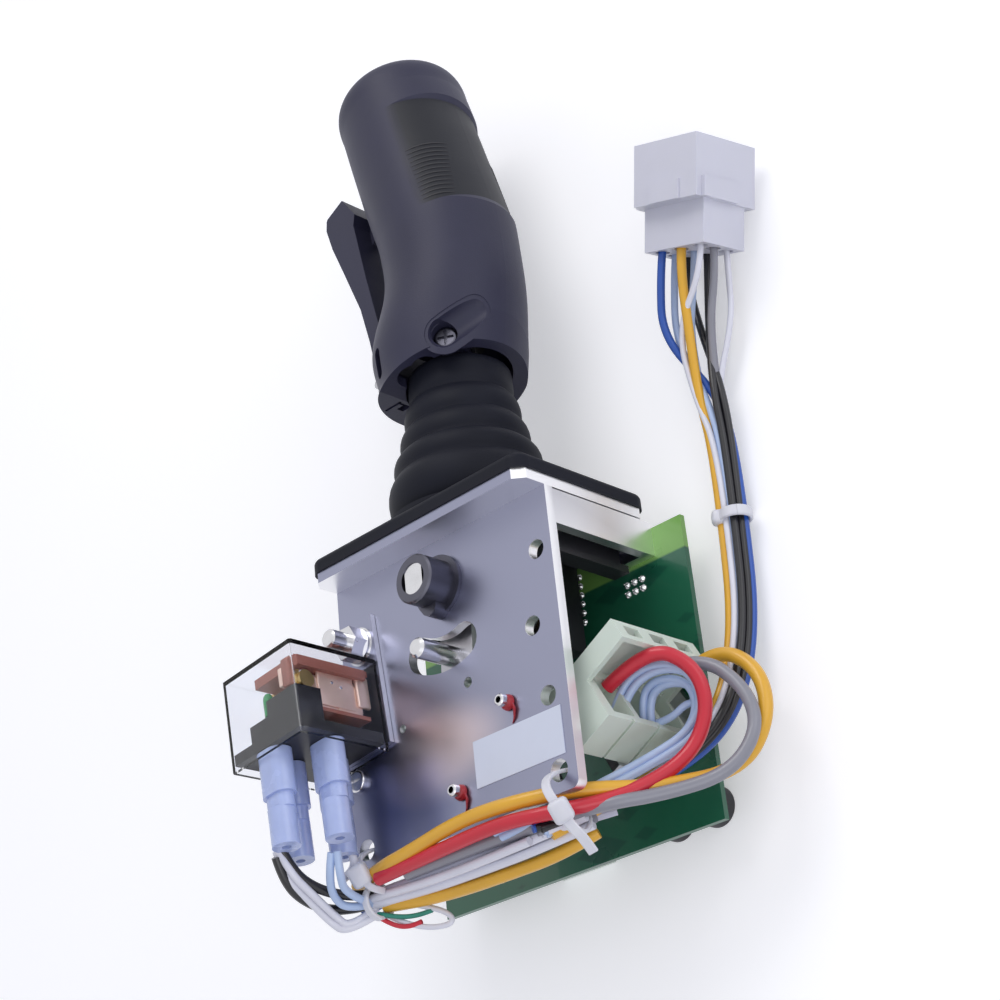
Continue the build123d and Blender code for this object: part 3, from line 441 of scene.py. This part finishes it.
def smooth(points, steps=8):
    # quadratic curve with the points as its control net, like the wires
    pts = [Vector(q) for q in points]
    mids = [pts[0]] + [(a + b) / 2 for a, b in zip(pts[1:-1], pts[2:-1])] + [pts[-1]]
    out = []
    for a, c, b in zip(mids, pts[1:-1], mids[1:]):
        for k in range(steps):
            t = k / steps
            out.append(a * (1 - t) ** 2 + c * (2 * t * (1 - t)) + b * t ** 2)
    return out + [pts[-1]]


# Cords


# the harness from the right-hand tie round the board's edge and up to the plug
RUN = [(24.2, -84.9, 13.0), (47.0, -78.0, -11.0), (61.0, -52.0, -29.9), (60.2, 8.0, -29.9),
       (58.9, 43.5, -26.8), (65.3, 62.0, -23.1)]
PLUG_AT = Vector((65.5, 62.6, -23.0))
PLUG_TURN = Matrix.Rotation(math.radians(-19), 3, "Z") @ Matrix.Rotation(math.radians(10), 3, "X")
PIN_PITCH = (6.35, 5.0)

# colour, place in the bundle, column and row in the plug, radius, sway between tie and plug
STRANDS = [
    ("yellow", (-2.3, 1.5), (0, 1), 1.25, 0.5), ("sky", (-1.2, 0.2), (0, 0), 0.95, -2.0),
    ("white", (-0.5, 2.1), (1, 1), 0.8, -7.0), ("sky", (0.2, 0.8), (-1, 0), 0.95, -3.0),
    ("black", (1.2, 1.2), (0, -1), 1.0, 1.5), ("black", (2.0, -0.4), (-1, -1), 1.0, 3.0),
    ("blue", (2.4, -1.5), (-1, 1), 1.05, -4.5), ("grey", (0.6, -1.7), (1, 0), 1.0, 1.0),
    ("white", (-1.1, -1.7), (1, -1), 0.8, 5.5),
]


def plug_point(u, v, w):
    return tuple(PLUG_AT + PLUG_TURN @ Vector((u, v, w)))


def harness():
    # each wire keeps its own place in the bundle and its own hole in the plug
    made = []
    start, low, turn, tie = RUN[:4]
    for i, (color, (a, b), (col, row), r, sway) in enumerate(STRANDS):
        u, w = col * PIN_PITCH[0], row * PIN_PITCH[1]
        pts = [(start[0] + 0.6 * b, start[1] + 0.3 * a, start[2] + 0.9 * a),
               (low[0] - 5.0 + 0.6 * a, low[1] + 3.0 - 0.5 * a, low[2] + b),
               (turn[0] - 3.5 + a, turn[1], turn[2] + 1.0 + b),
               (tie[0] + a, tie[1], tie[2] + b),
               (59.4 + 1.2 * a + 0.4 * sway, 26.0, -28.4 + b),
               (60.0 + 0.6 * u + sway, 43.0, -25.8 + 0.7 * w),
               plug_point(1.1 * u, -6.0, 1.05 * w), plug_point(u, 2.0, w)]
        made.append(wire("harness_wire_%d" % i, pts, r, color))
    return made


cords = harness()
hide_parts("harness_bundle")

# heavy loops from the board plug out to the right and back along the bracket's lower edge
LOOPS = [
    ("loop_red", "red", 1.75, [(37.0, -51.6, -0.6), (50.0, -45.4, -1.5), (57.8, -51.5, -8.0),
     (58.2, -62.0, -10.5), (52.6, -72.5, -8.0), (42.0, -80.0, 3.0), (30.0, -82.0, 14.5), (16.2, -81.2, 18.0),
     (-3.0, -82.2, 18.8), (-26.0, -82.9, 18.0)]),
    ("loop_yellow", "yellow", 1.75, [(47.0, -47.5, -19.5), (55.0, -43.6, -20.5), (66.0, -52.0, -21.0),
     (67.8, -65.0, -20.0), (61.0, -76.5, -16.0), (47.0, -78.5, -3.0), (34.0, -77.0, 10.0),
     (19.1, -77.4, 18.0), (4.0, -77.5, 19.4), (-13.2, -80.1, 19.4), (-24.0, -80.8, 18.7),
     (-38.0, -81.2, 14.0)]),
    ("loop_grey", "grey", 1.6, [(46.5, -47.5, -12.6), (56.0, -47.5, -14.0), (65.5, -58.5, -16.0),
     (67.3, -69.0, -15.5), (61.0, -78.2, -11.0), (48.6, -80.8, -2.0), (38.0, -81.6, 8.0), (17.3, -82.8, 13.6),
     (2.8, -83.2, 15.2), (-18.0, -83.6, 16.0)]),
]
for name, color, r, pts in LOOPS:
    o = wire(name, pts, r, color)
    if color == "red":
        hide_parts("loop_wires", "harness_run")

# wires between the two ties
RUNS = [
    ("run_white_a", "white", 1.2, [(33.5, -83.0, 8.0), (18.4, -85.2, 11.4), (3.3, -85.8, 12.6),
     (-10.4, -85.9, 13.4), (-24.0, -85.6, 13.6), (-33.0, -86.0, 14.0)]),
    ("run_white_b", "white", 1.2, [(33.0, -84.4, 5.2), (18.4, -86.9, 9.2), (3.3, -87.4, 10.6),
     (-10.4, -87.6, 11.6), (-24.0, -87.2, 12.4), (-33.0, -87.4, 15.0)]),
    ("run_grey", "grey", 1.3, [(33.0, -82.6, 4.5), (17.0, -84.6, 8.6), (0.0, -85.0, 9.8),
     (-16.0, -85.4, 10.8), (-31.0, -86.0, 12.0)]),
    ("run_yellow", "yellow", 1.6, [(30.0, -84.6, 0.6), (22.4, -88.0, 4.2), (5.5, -89.2, 7.4),
     (-8.0, -89.4, 8.8), (-20.0, -89.0, 10.6), (-30.0, -88.0, 12.6)]),
    ("run_black", "black", 1.3, [(30.0, -80.6, 3.5), (16.0, -83.2, 6.4), (0.0, -83.6, 8.0),
     (-16.0, -84.0, 9.4), (-30.0, -84.4, 13.0)]),
]
# light-blue pairs that come out of the board plug and turn down to the lower run
DOWN = [(44.0, -68.4, -7.5), (38.6, -72.0, -2.0), (32.5, -76.5, 6.0), (24.0, -80.5, 14.0),
        (12.0, -82.0, 16.0)]
PAIR_STEP = (1.3, -1.3, -0.9)
PAIRS = [
    ("pair_outer", 1.0, [(34.7, -57.3, -4.0), (38.5, -51.5, -3.6), (45.3, -48.2, -5.0), (52.0, -49.4, -7.6),
     (55.6, -54.0, -10.5), (54.4, -60.0, -12.5), (49.4, -65.0, -11.5)]),
    ("pair_inner", 1.0, [(38.9, -59.7, -10.0), (40.0, -53.7, -9.0), (44.0, -50.9, -8.6), (49.5, -51.4, -10.0),
     (53.0, -54.5, -12.0), (52.2, -60.5, -13.5), (47.0, -66.5, -11.5)]),
]
for name, r, pts in PAIRS:
    for k in range(2):
        dx, dy, dz = (k * c for c in PAIR_STEP)
        RUNS.append(("%s_%d" % (name, k), "sky", r, [(x + dx, y + dy, z + dz) for x, y, z in pts + DOWN]))
RUNS += [
    ("pair_short", "sky", 0.9, [(39.4, -59.5, -12.0), (45.2, -60.2, -12.0), (50.4, -57.0, -13.0),
     (53.0, -58.5, -15.5), (50.0, -64.0, -16.0)]),
    ("run_lilac", "lilac", 1.2, [(34.5, -80.5, -1.5), (22.0, -83.4, 9.0), (6.0, -84.4, 12.4),
     (-12.0, -84.8, 13.6), (-32.0, -85.0, 14.6)]),
    ("run_white_c", "white", 1.1, [(20.0, -85.8, 13.0), (4.0, -86.6, 13.8), (-12.0, -86.8, 14.6),
     (-26.0, -86.2, 15.2), (-34.0, -86.2, 16.0)]),
    ("curl_white", "white", 0.7, [(-24.0, -88.6, 11.0), (-17.5, -91.0, 8.0), (-14.0, -93.6, 6.0),
     (-14.6, -95.6, 6.2), (-20.0, -95.4, 8.6), (-27.0, -92.4, 11.2), (-31.0, -89.4, 12.6)]),
    ("curl_red", "red", 0.6, [(-31.0, -90.6, 14.0), (-28.0, -93.2, 12.6), (-24.0, -94.4, 10.6),
     (-21.0, -93.6, 9.6)]),
    ("curl_green", "green", 0.6, [(-31.0, -89.8, 14.4), (-27.0, -91.4, 12.4), (-22.0, -92.0, 9.6),
     (-18.4, -91.4, 8.4)]),
    ("run_blue", "blue", 1.3, [(-37.0, -87.6, 13.4), (-33.6, -87.2, 13.0), (-29.0, -86.4, 12.0)]),
]
for name, color, r, pts in RUNS:
    wire(name, pts, r, color)

# leads from the relay's blade sleeves down to the left-hand tie
LEADS = [
    ("lead_black_a", "black", 1.25, [(-38.3, -77.0, 39.0), (-39.4, -82.6, 36.0), (-40.2, -86.5, 29.0),
     (-38.6, -88.2, 20.0), (-34.0, -87.0, 15.0)]),
    ("lead_black_b", "black", 1.25, [(-37.0, -75.0, 38.6), (-37.2, -80.2, 35.6), (-36.6, -84.2, 28.0),
     (-33.6, -85.6, 19.0), (-31.0, -84.6, 14.0)]),
    ("lead_white_a", "white", 0.95, [(-37.6, -74.6, 39.4), (-36.6, -80.6, 37.0), (-36.6, -85.6, 29.6),
     (-38.0, -89.4, 22.0), (-36.0, -92.6, 19.0), (-31.6, -88.0, 14.0)]),
    ("lead_white_b", "white", 0.95, [(-38.8, -75.4, 38.6), (-38.6, -81.6, 36.4), (-38.8, -86.4, 29.0),
     (-39.6, -90.4, 22.4), (-36.8, -93.8, 19.4), (-31.0, -89.4, 13.8)]),
    ("lead_sky_a", "sky", 1.0, [(-28.0, -77.6, 30.6), (-30.0, -82.0, 30.0), (-34.0, -86.0, 26.0),
     (-35.4, -88.4, 20.0), (-31.0, -87.0, 14.0)]),
    ("lead_sky_b", "sky", 1.0, [(-26.6, -77.6, 30.0), (-27.4, -82.4, 29.0), (-31.6, -86.0, 24.0),
     (-31.8, -87.0, 16.0)]),
    ("lead_white_c", "white", 1.05, [(-34.2, -69.8, 22.0), (-32.0, -74.6, 20.4), (-32.4, -79.4, 19.4),
     (-37.4, -80.6, 20.0)]),
]
for i, (name, color, r, pts) in enumerate(LEADS):
    o = wire(name, pts, r, color)
    if i == 0:
        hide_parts("relay_leads")

# Boot: folds of moulded rubber

BOOT_SIDES = 96


def boot():
    # profile: radius and height of each fold, from the foot to the neck
    prof = [(17.6, 0.4), (17.9, 4.6), (19.2, 6.0), (20.8, 8.4), (21.5, 12.0), (21.1, 15.6), (19.8, 17.6),
            (18.9, 18.4), (19.3, 19.2), (19.6, 21.2), (19.2, 23.4), (17.8, 24.9), (16.5, 25.5), (17.0, 26.3),
            (17.3, 28.4), (16.9, 30.6), (15.8, 32.2), (14.9, 32.8), (15.4, 33.6), (15.6, 35.6), (15.2, 37.8),
            (14.2, 39.6), (13.3, 40.3), (13.8, 41.1), (14.0, 43.2), (13.8, 45.6), (13.9, 47.4), (13.4, 49.0),
            (12.0, 49.4)]
    verts = []
    for r, y in prof:
        for j in range(BOOT_SIDES):
            q = math.tau * j / BOOT_SIDES
            d = 0.12 * math.sin(3 * q + y * 0.21)
            verts.append(((r + d) * math.cos(q), y, (r + d) * math.sin(q)))
    o = piece("boot_folds", verts, tube_faces(len(prof), BOOT_SIDES, capped=False), RUBBER, body=None)
    sub = o.modifiers.new("smooth", "SUBSURF")
    sub.levels = sub.render_levels = 1
    dg = bpy.context.evaluated_depsgraph_get()
    me = bpy.data.meshes.new_from_object(o.evaluated_get(dg))
    o.modifiers.clear()
    o.data = me
    for p in me.polygons:
        p.use_smooth = True
    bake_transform(o)
    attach(o, "frame")
    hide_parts("boot_bellows")


boot()

# Solder joints on the board's front: one row of six and a block of two by three

BOARD_FACE = -23.9
SOLDER_ROW = [(12.6, y) for y in (-8.5, -11.0, -13.5, -15.9, -18.4, -20.9)]
SOLDER_BLOCK = [(x, y) for x in (28.1, 30.6, 33.1) for y in (-16.6, -19.1)]
SOLDER_CONE = [(0.95, 0), (0.85, 0.25), (0.6, 0.55), (0.28, 0.75), (0.22, 1.25), (0.05, 1.4)]

for k, (x, y) in enumerate(SOLDER_ROW + SOLDER_BLOCK):
    lathe("solder_%02d" % k, SOLDER_CONE, (x, y, BOARD_FACE), (0, 0, 1), SOLDER, n=16)

# Screw ends of the switch with red thread lock that has run down the sheet

SCREW_ENDS = ((19.0, -52.0), (0.8, -68.6))
SCREW_TIP, SHEET_FACE = 17.6, 14.3

for k, (x, y) in enumerate(SCREW_ENDS):
    thread("screw_end_%d" % k, (x, y, SCREW_TIP), (0, 0, -1), 1.5, 4.4, BRIGHT, pitch=0.6)
    pts = [(x + 1.4, y - 1.2, SHEET_FACE + 0.2), (x + 2.0, y - 2.4, SHEET_FACE + 0.2),
           (x + 1.6, y - 4.4, SHEET_FACE + 0.1), (x + 0.8, y - 5.6, SHEET_FACE + 0.05)]
    v, f = sweep(pts, [ring(1.1, 12, 0.4), ring(1.0, 12, 0.4), ring(0.7, 12, 0.35), ring(0.25, 12, 0.3)])
    piece("lock_run_%d" % k, v, f, LOCK)
    lathe("lock_blob_%d" % k, [(1.4, 0), (2.0, 0.3), (1.9, 0.9), (1.55, 1.5)],
          (x + 0.35, y - 0.35, SHEET_FACE), (0, 0, 1), LOCK, n=18)

# Cable ties: flat straps with a head each


def strap(name, points, ups, width=2.6, thick=0.9):
    # flat band along the points, its outer face towards each point's own up
    verts = []
    half, t = width / 2, thick / 2
    shape = [(-half, -t * 0.4), (-half, t * 0.4), (-half * 0.8, t), (half * 0.8, t), (half, t * 0.4),
             (half, -t * 0.4), (half * 0.8, -t), (-half * 0.8, -t)]
    pts = [Vector(q) for q in points]
    for i, q in enumerate(pts):
        run = (pts[min(i + 1, len(pts) - 1)] - pts[max(i - 1, 0)]).normalized()
        up = Vector(ups[i])
        up = (up - run * up.dot(run)).normalized()
        side = run.cross(up)
        verts += [tuple(q + side * a + up * b) for a, b in shape]
    return piece(name, verts, tube_faces(len(pts), len(shape)), TIE)


def curved_strap(name, points, up, width=2.6, thick=0.9):
    line = smooth(points)
    return strap(name, line, [up] * len(line), width, thick)


def hoop(name, centre, axis, r, width, steps=48):
    a = Vector(axis).normalized()
    u = a.orthogonal().normalized()
    w = a.cross(u)
    pts, ups = [], []
    for j in range(steps + 1):
        q = math.tau * j / steps
        d = u * math.cos(q) + w * math.sin(q)
        pts.append(Vector(centre) + d * r)
        ups.append(d)
    return strap(name, pts, ups, width)


def tie_head(name, at, face, run, size):
    # rounded block whose face looks along one direction and whose length lies along the strap's run
    z = Vector(face).normalized()
    y = Vector(run)
    y = (y - z * y.dot(z)).normalized()
    x = y.cross(z)
    m = Matrix((x, y, z)).transposed().to_4x4()
    m.translation = Vector(at)
    half = [c / 2 for c in size]
    return block(name, [-c for c in half], half, TIE, bevel=1.1, turn=m)


def ties():
    face, across = (0.1, 0.5, 0.85), (0.2, -0.9, -0.3)
    o = curved_strap("tie_right_strap", [(32.6, -72.7, 12.4), (32.7, -73.6, 15.6), (33.4, -76.6, 20.6),
                     (35.4, -81.0, 21.8), (36.9, -84.6, 19.8)], face, width=2.2)
    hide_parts("frame_ties")
    tie_head("tie_right_head", (36.9, -84.6, 20.0), (0.55, -0.45, 0.7), across, (4.8, 5.4, 3.6))
    curved_strap("tie_right_tail", [(36.9, -85.4, 19.6), (38.4, -88.6, 18.4), (38.9, -91.0, 15.6),
                 (38.4, -93.4, 12.6)], (0.5, -0.5, 0.7), width=2.4)
    curved_strap("tie_right_back", [(36.0, -84.0, 18.6), (34.0, -87.6, 14.0), (32.4, -86.8, 6.0),
                 (31.6, -80.0, 4.6)], (0.3, -0.9, 0.0))
    curved_strap("tie_left_strap", [(-33.4, -72.9, 12.4), (-33.3, -74.2, 15.6), (-32.0, -77.4, 19.4),
                 (-30.3, -80.8, 20.2)], face)
    tie_head("tie_left_head", (-30.2, -81.2, 20.2), (0.5, -0.45, 0.74), across, (5.0, 5.6, 4.0))
    curved_strap("tie_left_tail", [(-30.0, -82.0, 19.8), (-28.0, -84.4, 19.6), (-26.6, -85.4, 18.0),
                 (-25.8, -85.8, 16.4)], (0.4, 0.1, 0.9), width=1.8, thick=0.7)
    hoop("tie_loop", (-30.4, -87.0, 14.4), (1, 0.02, 0.05), 4.1, width=2.0)
    o = hoop("tie_harness", (60.0, -8.6, -29.8), (0.02, 1, 0), 3.9, width=2.8)
    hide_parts("harness_ties")
    tie_head("tie_harness_head", (56.9, -8.6, -27.1), (-0.7, 0, 0.7), (0, 1, 0), (3.6, 3.8, 3.4))


ties()

# Relay's works behind the clear cover: x right, y up, z to the front, from the relay's own middle

RELAY_TURN = Matrix.Translation((-35.4, -40.7, 29.95)) @ Matrix.Rotation(math.radians(6.1), 4, "Z")
RELAY_WORKS = [
    ("relay_coil_plate", (9.4, -2.0, -7.6), (10.2, 8.1, 4.0), COPPER, 0.3),
    ("relay_coil_band", (9.2, -0.6, -12.6), (10.6, 8.1, -8.3), COPPER, 0.6),
    ("relay_coil_foot", (8.8, -3.4, -9.6), (10.0, -1.8, -2.0), COPPER, 0.3),
    ("relay_flange", (7.6, 8.5, -12.8), (10.4, 10.2, 11.0), BOBBIN, 0.3),
    ("relay_arm", (7.0, 2.0, 10.6), (9.6, 9.6, 12.0), BOBBIN, 0.4),
    ("relay_spring", (5.2, 3.0, 10.0), (6.6, 8.0, 11.6), COPPER, 0.3),
]


def in_relay(name, profile, at, axis, mat, n):
    return lathe(name, profile, RELAY_TURN @ Vector(at), RELAY_TURN.to_3x3() @ Vector(axis), mat, n=n)


def relay_works():
    for name, lo, hi, mat, bevel in RELAY_WORKS:
        block(name, lo, hi, mat, bevel=bevel, turn=RELAY_TURN)
    dimple = [(0.5, 0), (0.4, 0.15), (0.1, 0.25)]
    for k, (y, z) in enumerate(((4.6, -0.6), (3.8, -3.4))):
        in_relay("relay_dimple_%d" % k, dimple, (10.1, y, z), (1, 0, 0), BRIGHT, 16)
    rivet = [(1.9, 0), (1.9, 0.5), (1.6, 0.7), (0.9, 0.75)]
    in_relay("relay_rivet", rivet, (9.8, 5.1, 8.0), (1, 0, 0), BRIGHT, 28)
    dome = [(0.4, 0), (1.3, 0.1), (1.35, 4.6), (1.15, 5.5), (0.7, 6.1), (0.1, 6.3)]
    o = in_relay("relay_lamp_dome", dome, (-0.4, -2.2, 10.6), (0, 1, 0), GREEN_LAMP, 24)
    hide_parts("relay_lamp")


relay_works()

# Fine ribs across the palm panel, on its own shifted cylinder

HEAD_TILT = math.radians(15)
HEAD = Matrix.Translation((-10.8, 137.0, 0)) @ Matrix.Rotation(HEAD_TILT, 4, "Z")
PANEL_R, PANEL_SHIFT = 20.0, 2.2
PANEL_LOW, PANEL_TOP = -48.6, -9.0
RIB_COUNT, RIB_TOP, RIB_PITCH, RIB_R = 13, -28.0, 1.6, 0.26
RIB_FIRST, RIB_LAST, RIB_STEPS = 24.0, 58.0, 16


def panel_ribs():
    for side in (1, -1):
        for k in range(RIB_COUNT):
            h = RIB_TOP - k * RIB_PITCH
            first = RIB_FIRST + 0.7 * k
            pts, rings = [], []
            for j in range(RIB_STEPS + 1):
                t = j / RIB_STEPS
                q = math.radians(first + (RIB_LAST - first) * t)
                rise = 0.5 * math.sin(math.pi * t)
                pts.append(HEAD @ Vector((PANEL_R * math.cos(q) - PANEL_SHIFT, h + rise,
                                          side * PANEL_R * math.sin(q))))
                rings.append(ring(RIB_R * math.sin(math.pi * min(max(t, 0.04), 0.96)) ** 0.5, 8))
            v, f = sweep(pts, rings)
            piece("palm_rib_%s_%02d" % ("front" if side > 0 else "back", k), v, f, PANEL, "lever")


panel_ribs()


def panel_mask(nt):
    # 1 on the panel: inside its height and on its own cylinder
    at = nt.nodes.new("ShaderNodeTexCoord")
    turn = nt.nodes.new("ShaderNodeMapping")
    turn.vector_type = "TEXTURE"
    turn.inputs["Location"].default_value = HEAD.translation * MM
    turn.inputs["Rotation"].default_value = (0, 0, HEAD_TILT)
    sep = nt.nodes.new("ShaderNodeSeparateXYZ")
    nt.links.new(at.outputs["Object"], turn.inputs["Vector"])
    nt.links.new(turn.outputs["Vector"], sep.inputs["Vector"])

    def step(socket, lo, hi, out=(0.0, 1.0)):
        # from one value to the other between two lengths in millimetres
        n = nt.nodes.new("ShaderNodeMapRange")
        n.inputs["From Min"].default_value, n.inputs["From Max"].default_value = lo * MM, hi * MM
        n.inputs["To Min"].default_value, n.inputs["To Max"].default_value = out
        nt.links.new(socket, n.inputs["Value"])
        return n.outputs["Result"]

    def math_node(kind, a, b):
        n = nt.nodes.new("ShaderNodeMath")
        n.operation = kind
        for i, v in enumerate((a, b)):
            if isinstance(v, (int, float)):
                n.inputs[i].default_value = v
            else:
                nt.links.new(v, n.inputs[i])
        return n.outputs["Value"]

    x = math_node("ADD", sep.outputs["X"], PANEL_SHIFT * MM)
    z = sep.outputs["Z"]
    r = math_node("SQRT", math_node("ADD", math_node("MULTIPLY", x, x), math_node("MULTIPLY", z, z)), 0.0)
    on_wall = step(r, PANEL_R + 0.06, PANEL_R + 0.3, (1.0, 0.0))
    inside = step(r, PANEL_R - 0.2, PANEL_R - 0.06)
    low = step(sep.outputs["Y"], PANEL_LOW - 0.1, PANEL_LOW + 0.2)
    high = step(sep.outputs["Y"], PANEL_TOP - 0.2, PANEL_TOP + 0.2, (1.0, 0.0))
    right = step(sep.outputs["X"], 6.0, 10.0)
    m = math_node("MULTIPLY", math_node("MULTIPLY", on_wall, inside), math_node("MULTIPLY", low, high))
    return math_node("MULTIPLY", m, right)


tinted(GRIP, (0.007, 0.008, 0.014), panel_mask)

# Stage: a pale floor, even light and the camera that was fitted to the photograph

FLOOR_HALF, FLOOR_Z = 3.0, -0.0347
EYE = (0.3310388, -0.2196883, 0.3452256)
RIGHT = (0.69655, -0.09585, -0.71108)
DOWN_AXIS = (-0.37294, -0.89501, -0.24468)
AHEAD = (-0.61297, 0.43562, -0.65917)
SENSOR_MM, FOCAL_PX, PHOTO_PX = 36, 2061.44, 1000


def seen_white(nt):
    # 1 for camera rays and for what metal and glass show of the background
    path = nt.nodes.new("ShaderNodeLightPath")
    out = path.outputs["Is Camera Ray"]
    for name in ("Is Glossy Ray", "Is Transmission Ray"):
        add = nt.nodes.new("ShaderNodeMath")
        add.operation = "ADD"
        add.use_clamp = True
        nt.links.new(out, add.inputs[0])
        nt.links.new(path.outputs[name], add.inputs[1])
        out = add.outputs["Value"]
    return out


def stage():
    w = bpy.data.worlds.new("studio")
    bpy.context.scene.world = w
    w.use_nodes = True
    nt = w.node_tree
    bg = nt.nodes["Background"]
    mix = nt.nodes.new("ShaderNodeMix")
    mix.data_type = "RGBA"
    mix.inputs["A"].default_value = (0.50, 0.51, 0.56, 1)
    mix.inputs["B"].default_value = (1, 1, 1, 1)
    nt.links.new(seen_white(nt), mix.inputs["Factor"])
    nt.links.new(mix.outputs["Result"], bg.inputs["Color"])
    fm = bpy.data.materials.new("floor")
    fm.use_nodes = True
    ft = fm.node_tree
    b = ft.nodes["Principled BSDF"]
    b.inputs["Base Color"].default_value = (0.86, 0.86, 0.88, 1)
    b.inputs["Roughness"].default_value = 0.9
    am = ft.nodes.new("ShaderNodeMath")
    am.operation = "MULTIPLY"
    am.inputs[1].default_value = 0.32
    ft.links.new(seen_white(ft), am.inputs[0])
    b.inputs["Emission Color"].default_value = (1, 1, 1, 1)
    ft.links.new(am.outputs["Value"], b.inputs["Emission Strength"])
    me = bpy.data.meshes.new("floor")
    s, z = FLOOR_HALF, FLOOR_Z
    me.from_pydata([(-s, -s, z), (s, -s, z), (s, s, z), (-s, s, z)], [], [(0, 1, 2, 3)])
    me.materials.append(fm)
    link(bpy.data.objects.new("floor", me))

    def lamp(name, at, target, size, power, color=(1, 1, 1)):
        la = bpy.data.lights.new(name, "AREA")
        la.shape = "RECTANGLE"
        la.size, la.size_y = size
        la.energy = power
        la.color = color
        o = link(bpy.data.objects.new(name, la))
        o.location = at
        o.rotation_mode = "QUATERNION"
        o.rotation_quaternion = (Vector(target) - Vector(at)).to_track_quat("-Z", "Y")

    lamp("key", (0.12, 0.62, 0.62), (0, 0, 0), (0.5, 0.4), 2.4, (1, 0.98, 0.96))
    lamp("front", (0.50, -0.50, 0.45), (0, -0.02, 0), (0.6, 0.4), 1.3, (0.95, 0.97, 1))
    lamp("side", (0.75, 0.25, 0.25), (0, 0.02, 0), (0.4, 0.5), 0.9, (0.95, 0.97, 1))


def camera():
    cam = bpy.data.cameras.new("photo")
    o = link(bpy.data.objects.new("photo", cam))
    m = Matrix((Vector(RIGHT), -Vector(DOWN_AXIS), -Vector(AHEAD))).transposed().to_4x4()
    m.translation = Vector(EYE)
    o.matrix_world = m
    cam.sensor_width = SENSOR_MM
    cam.lens = SENSOR_MM * FOCAL_PX / PHOTO_PX
    cam.clip_start, cam.clip_end = 0.01, 20
    bpy.context.scene.camera = o


stage()
camera()
bpy.context.scene.view_settings.view_transform = "Standard"
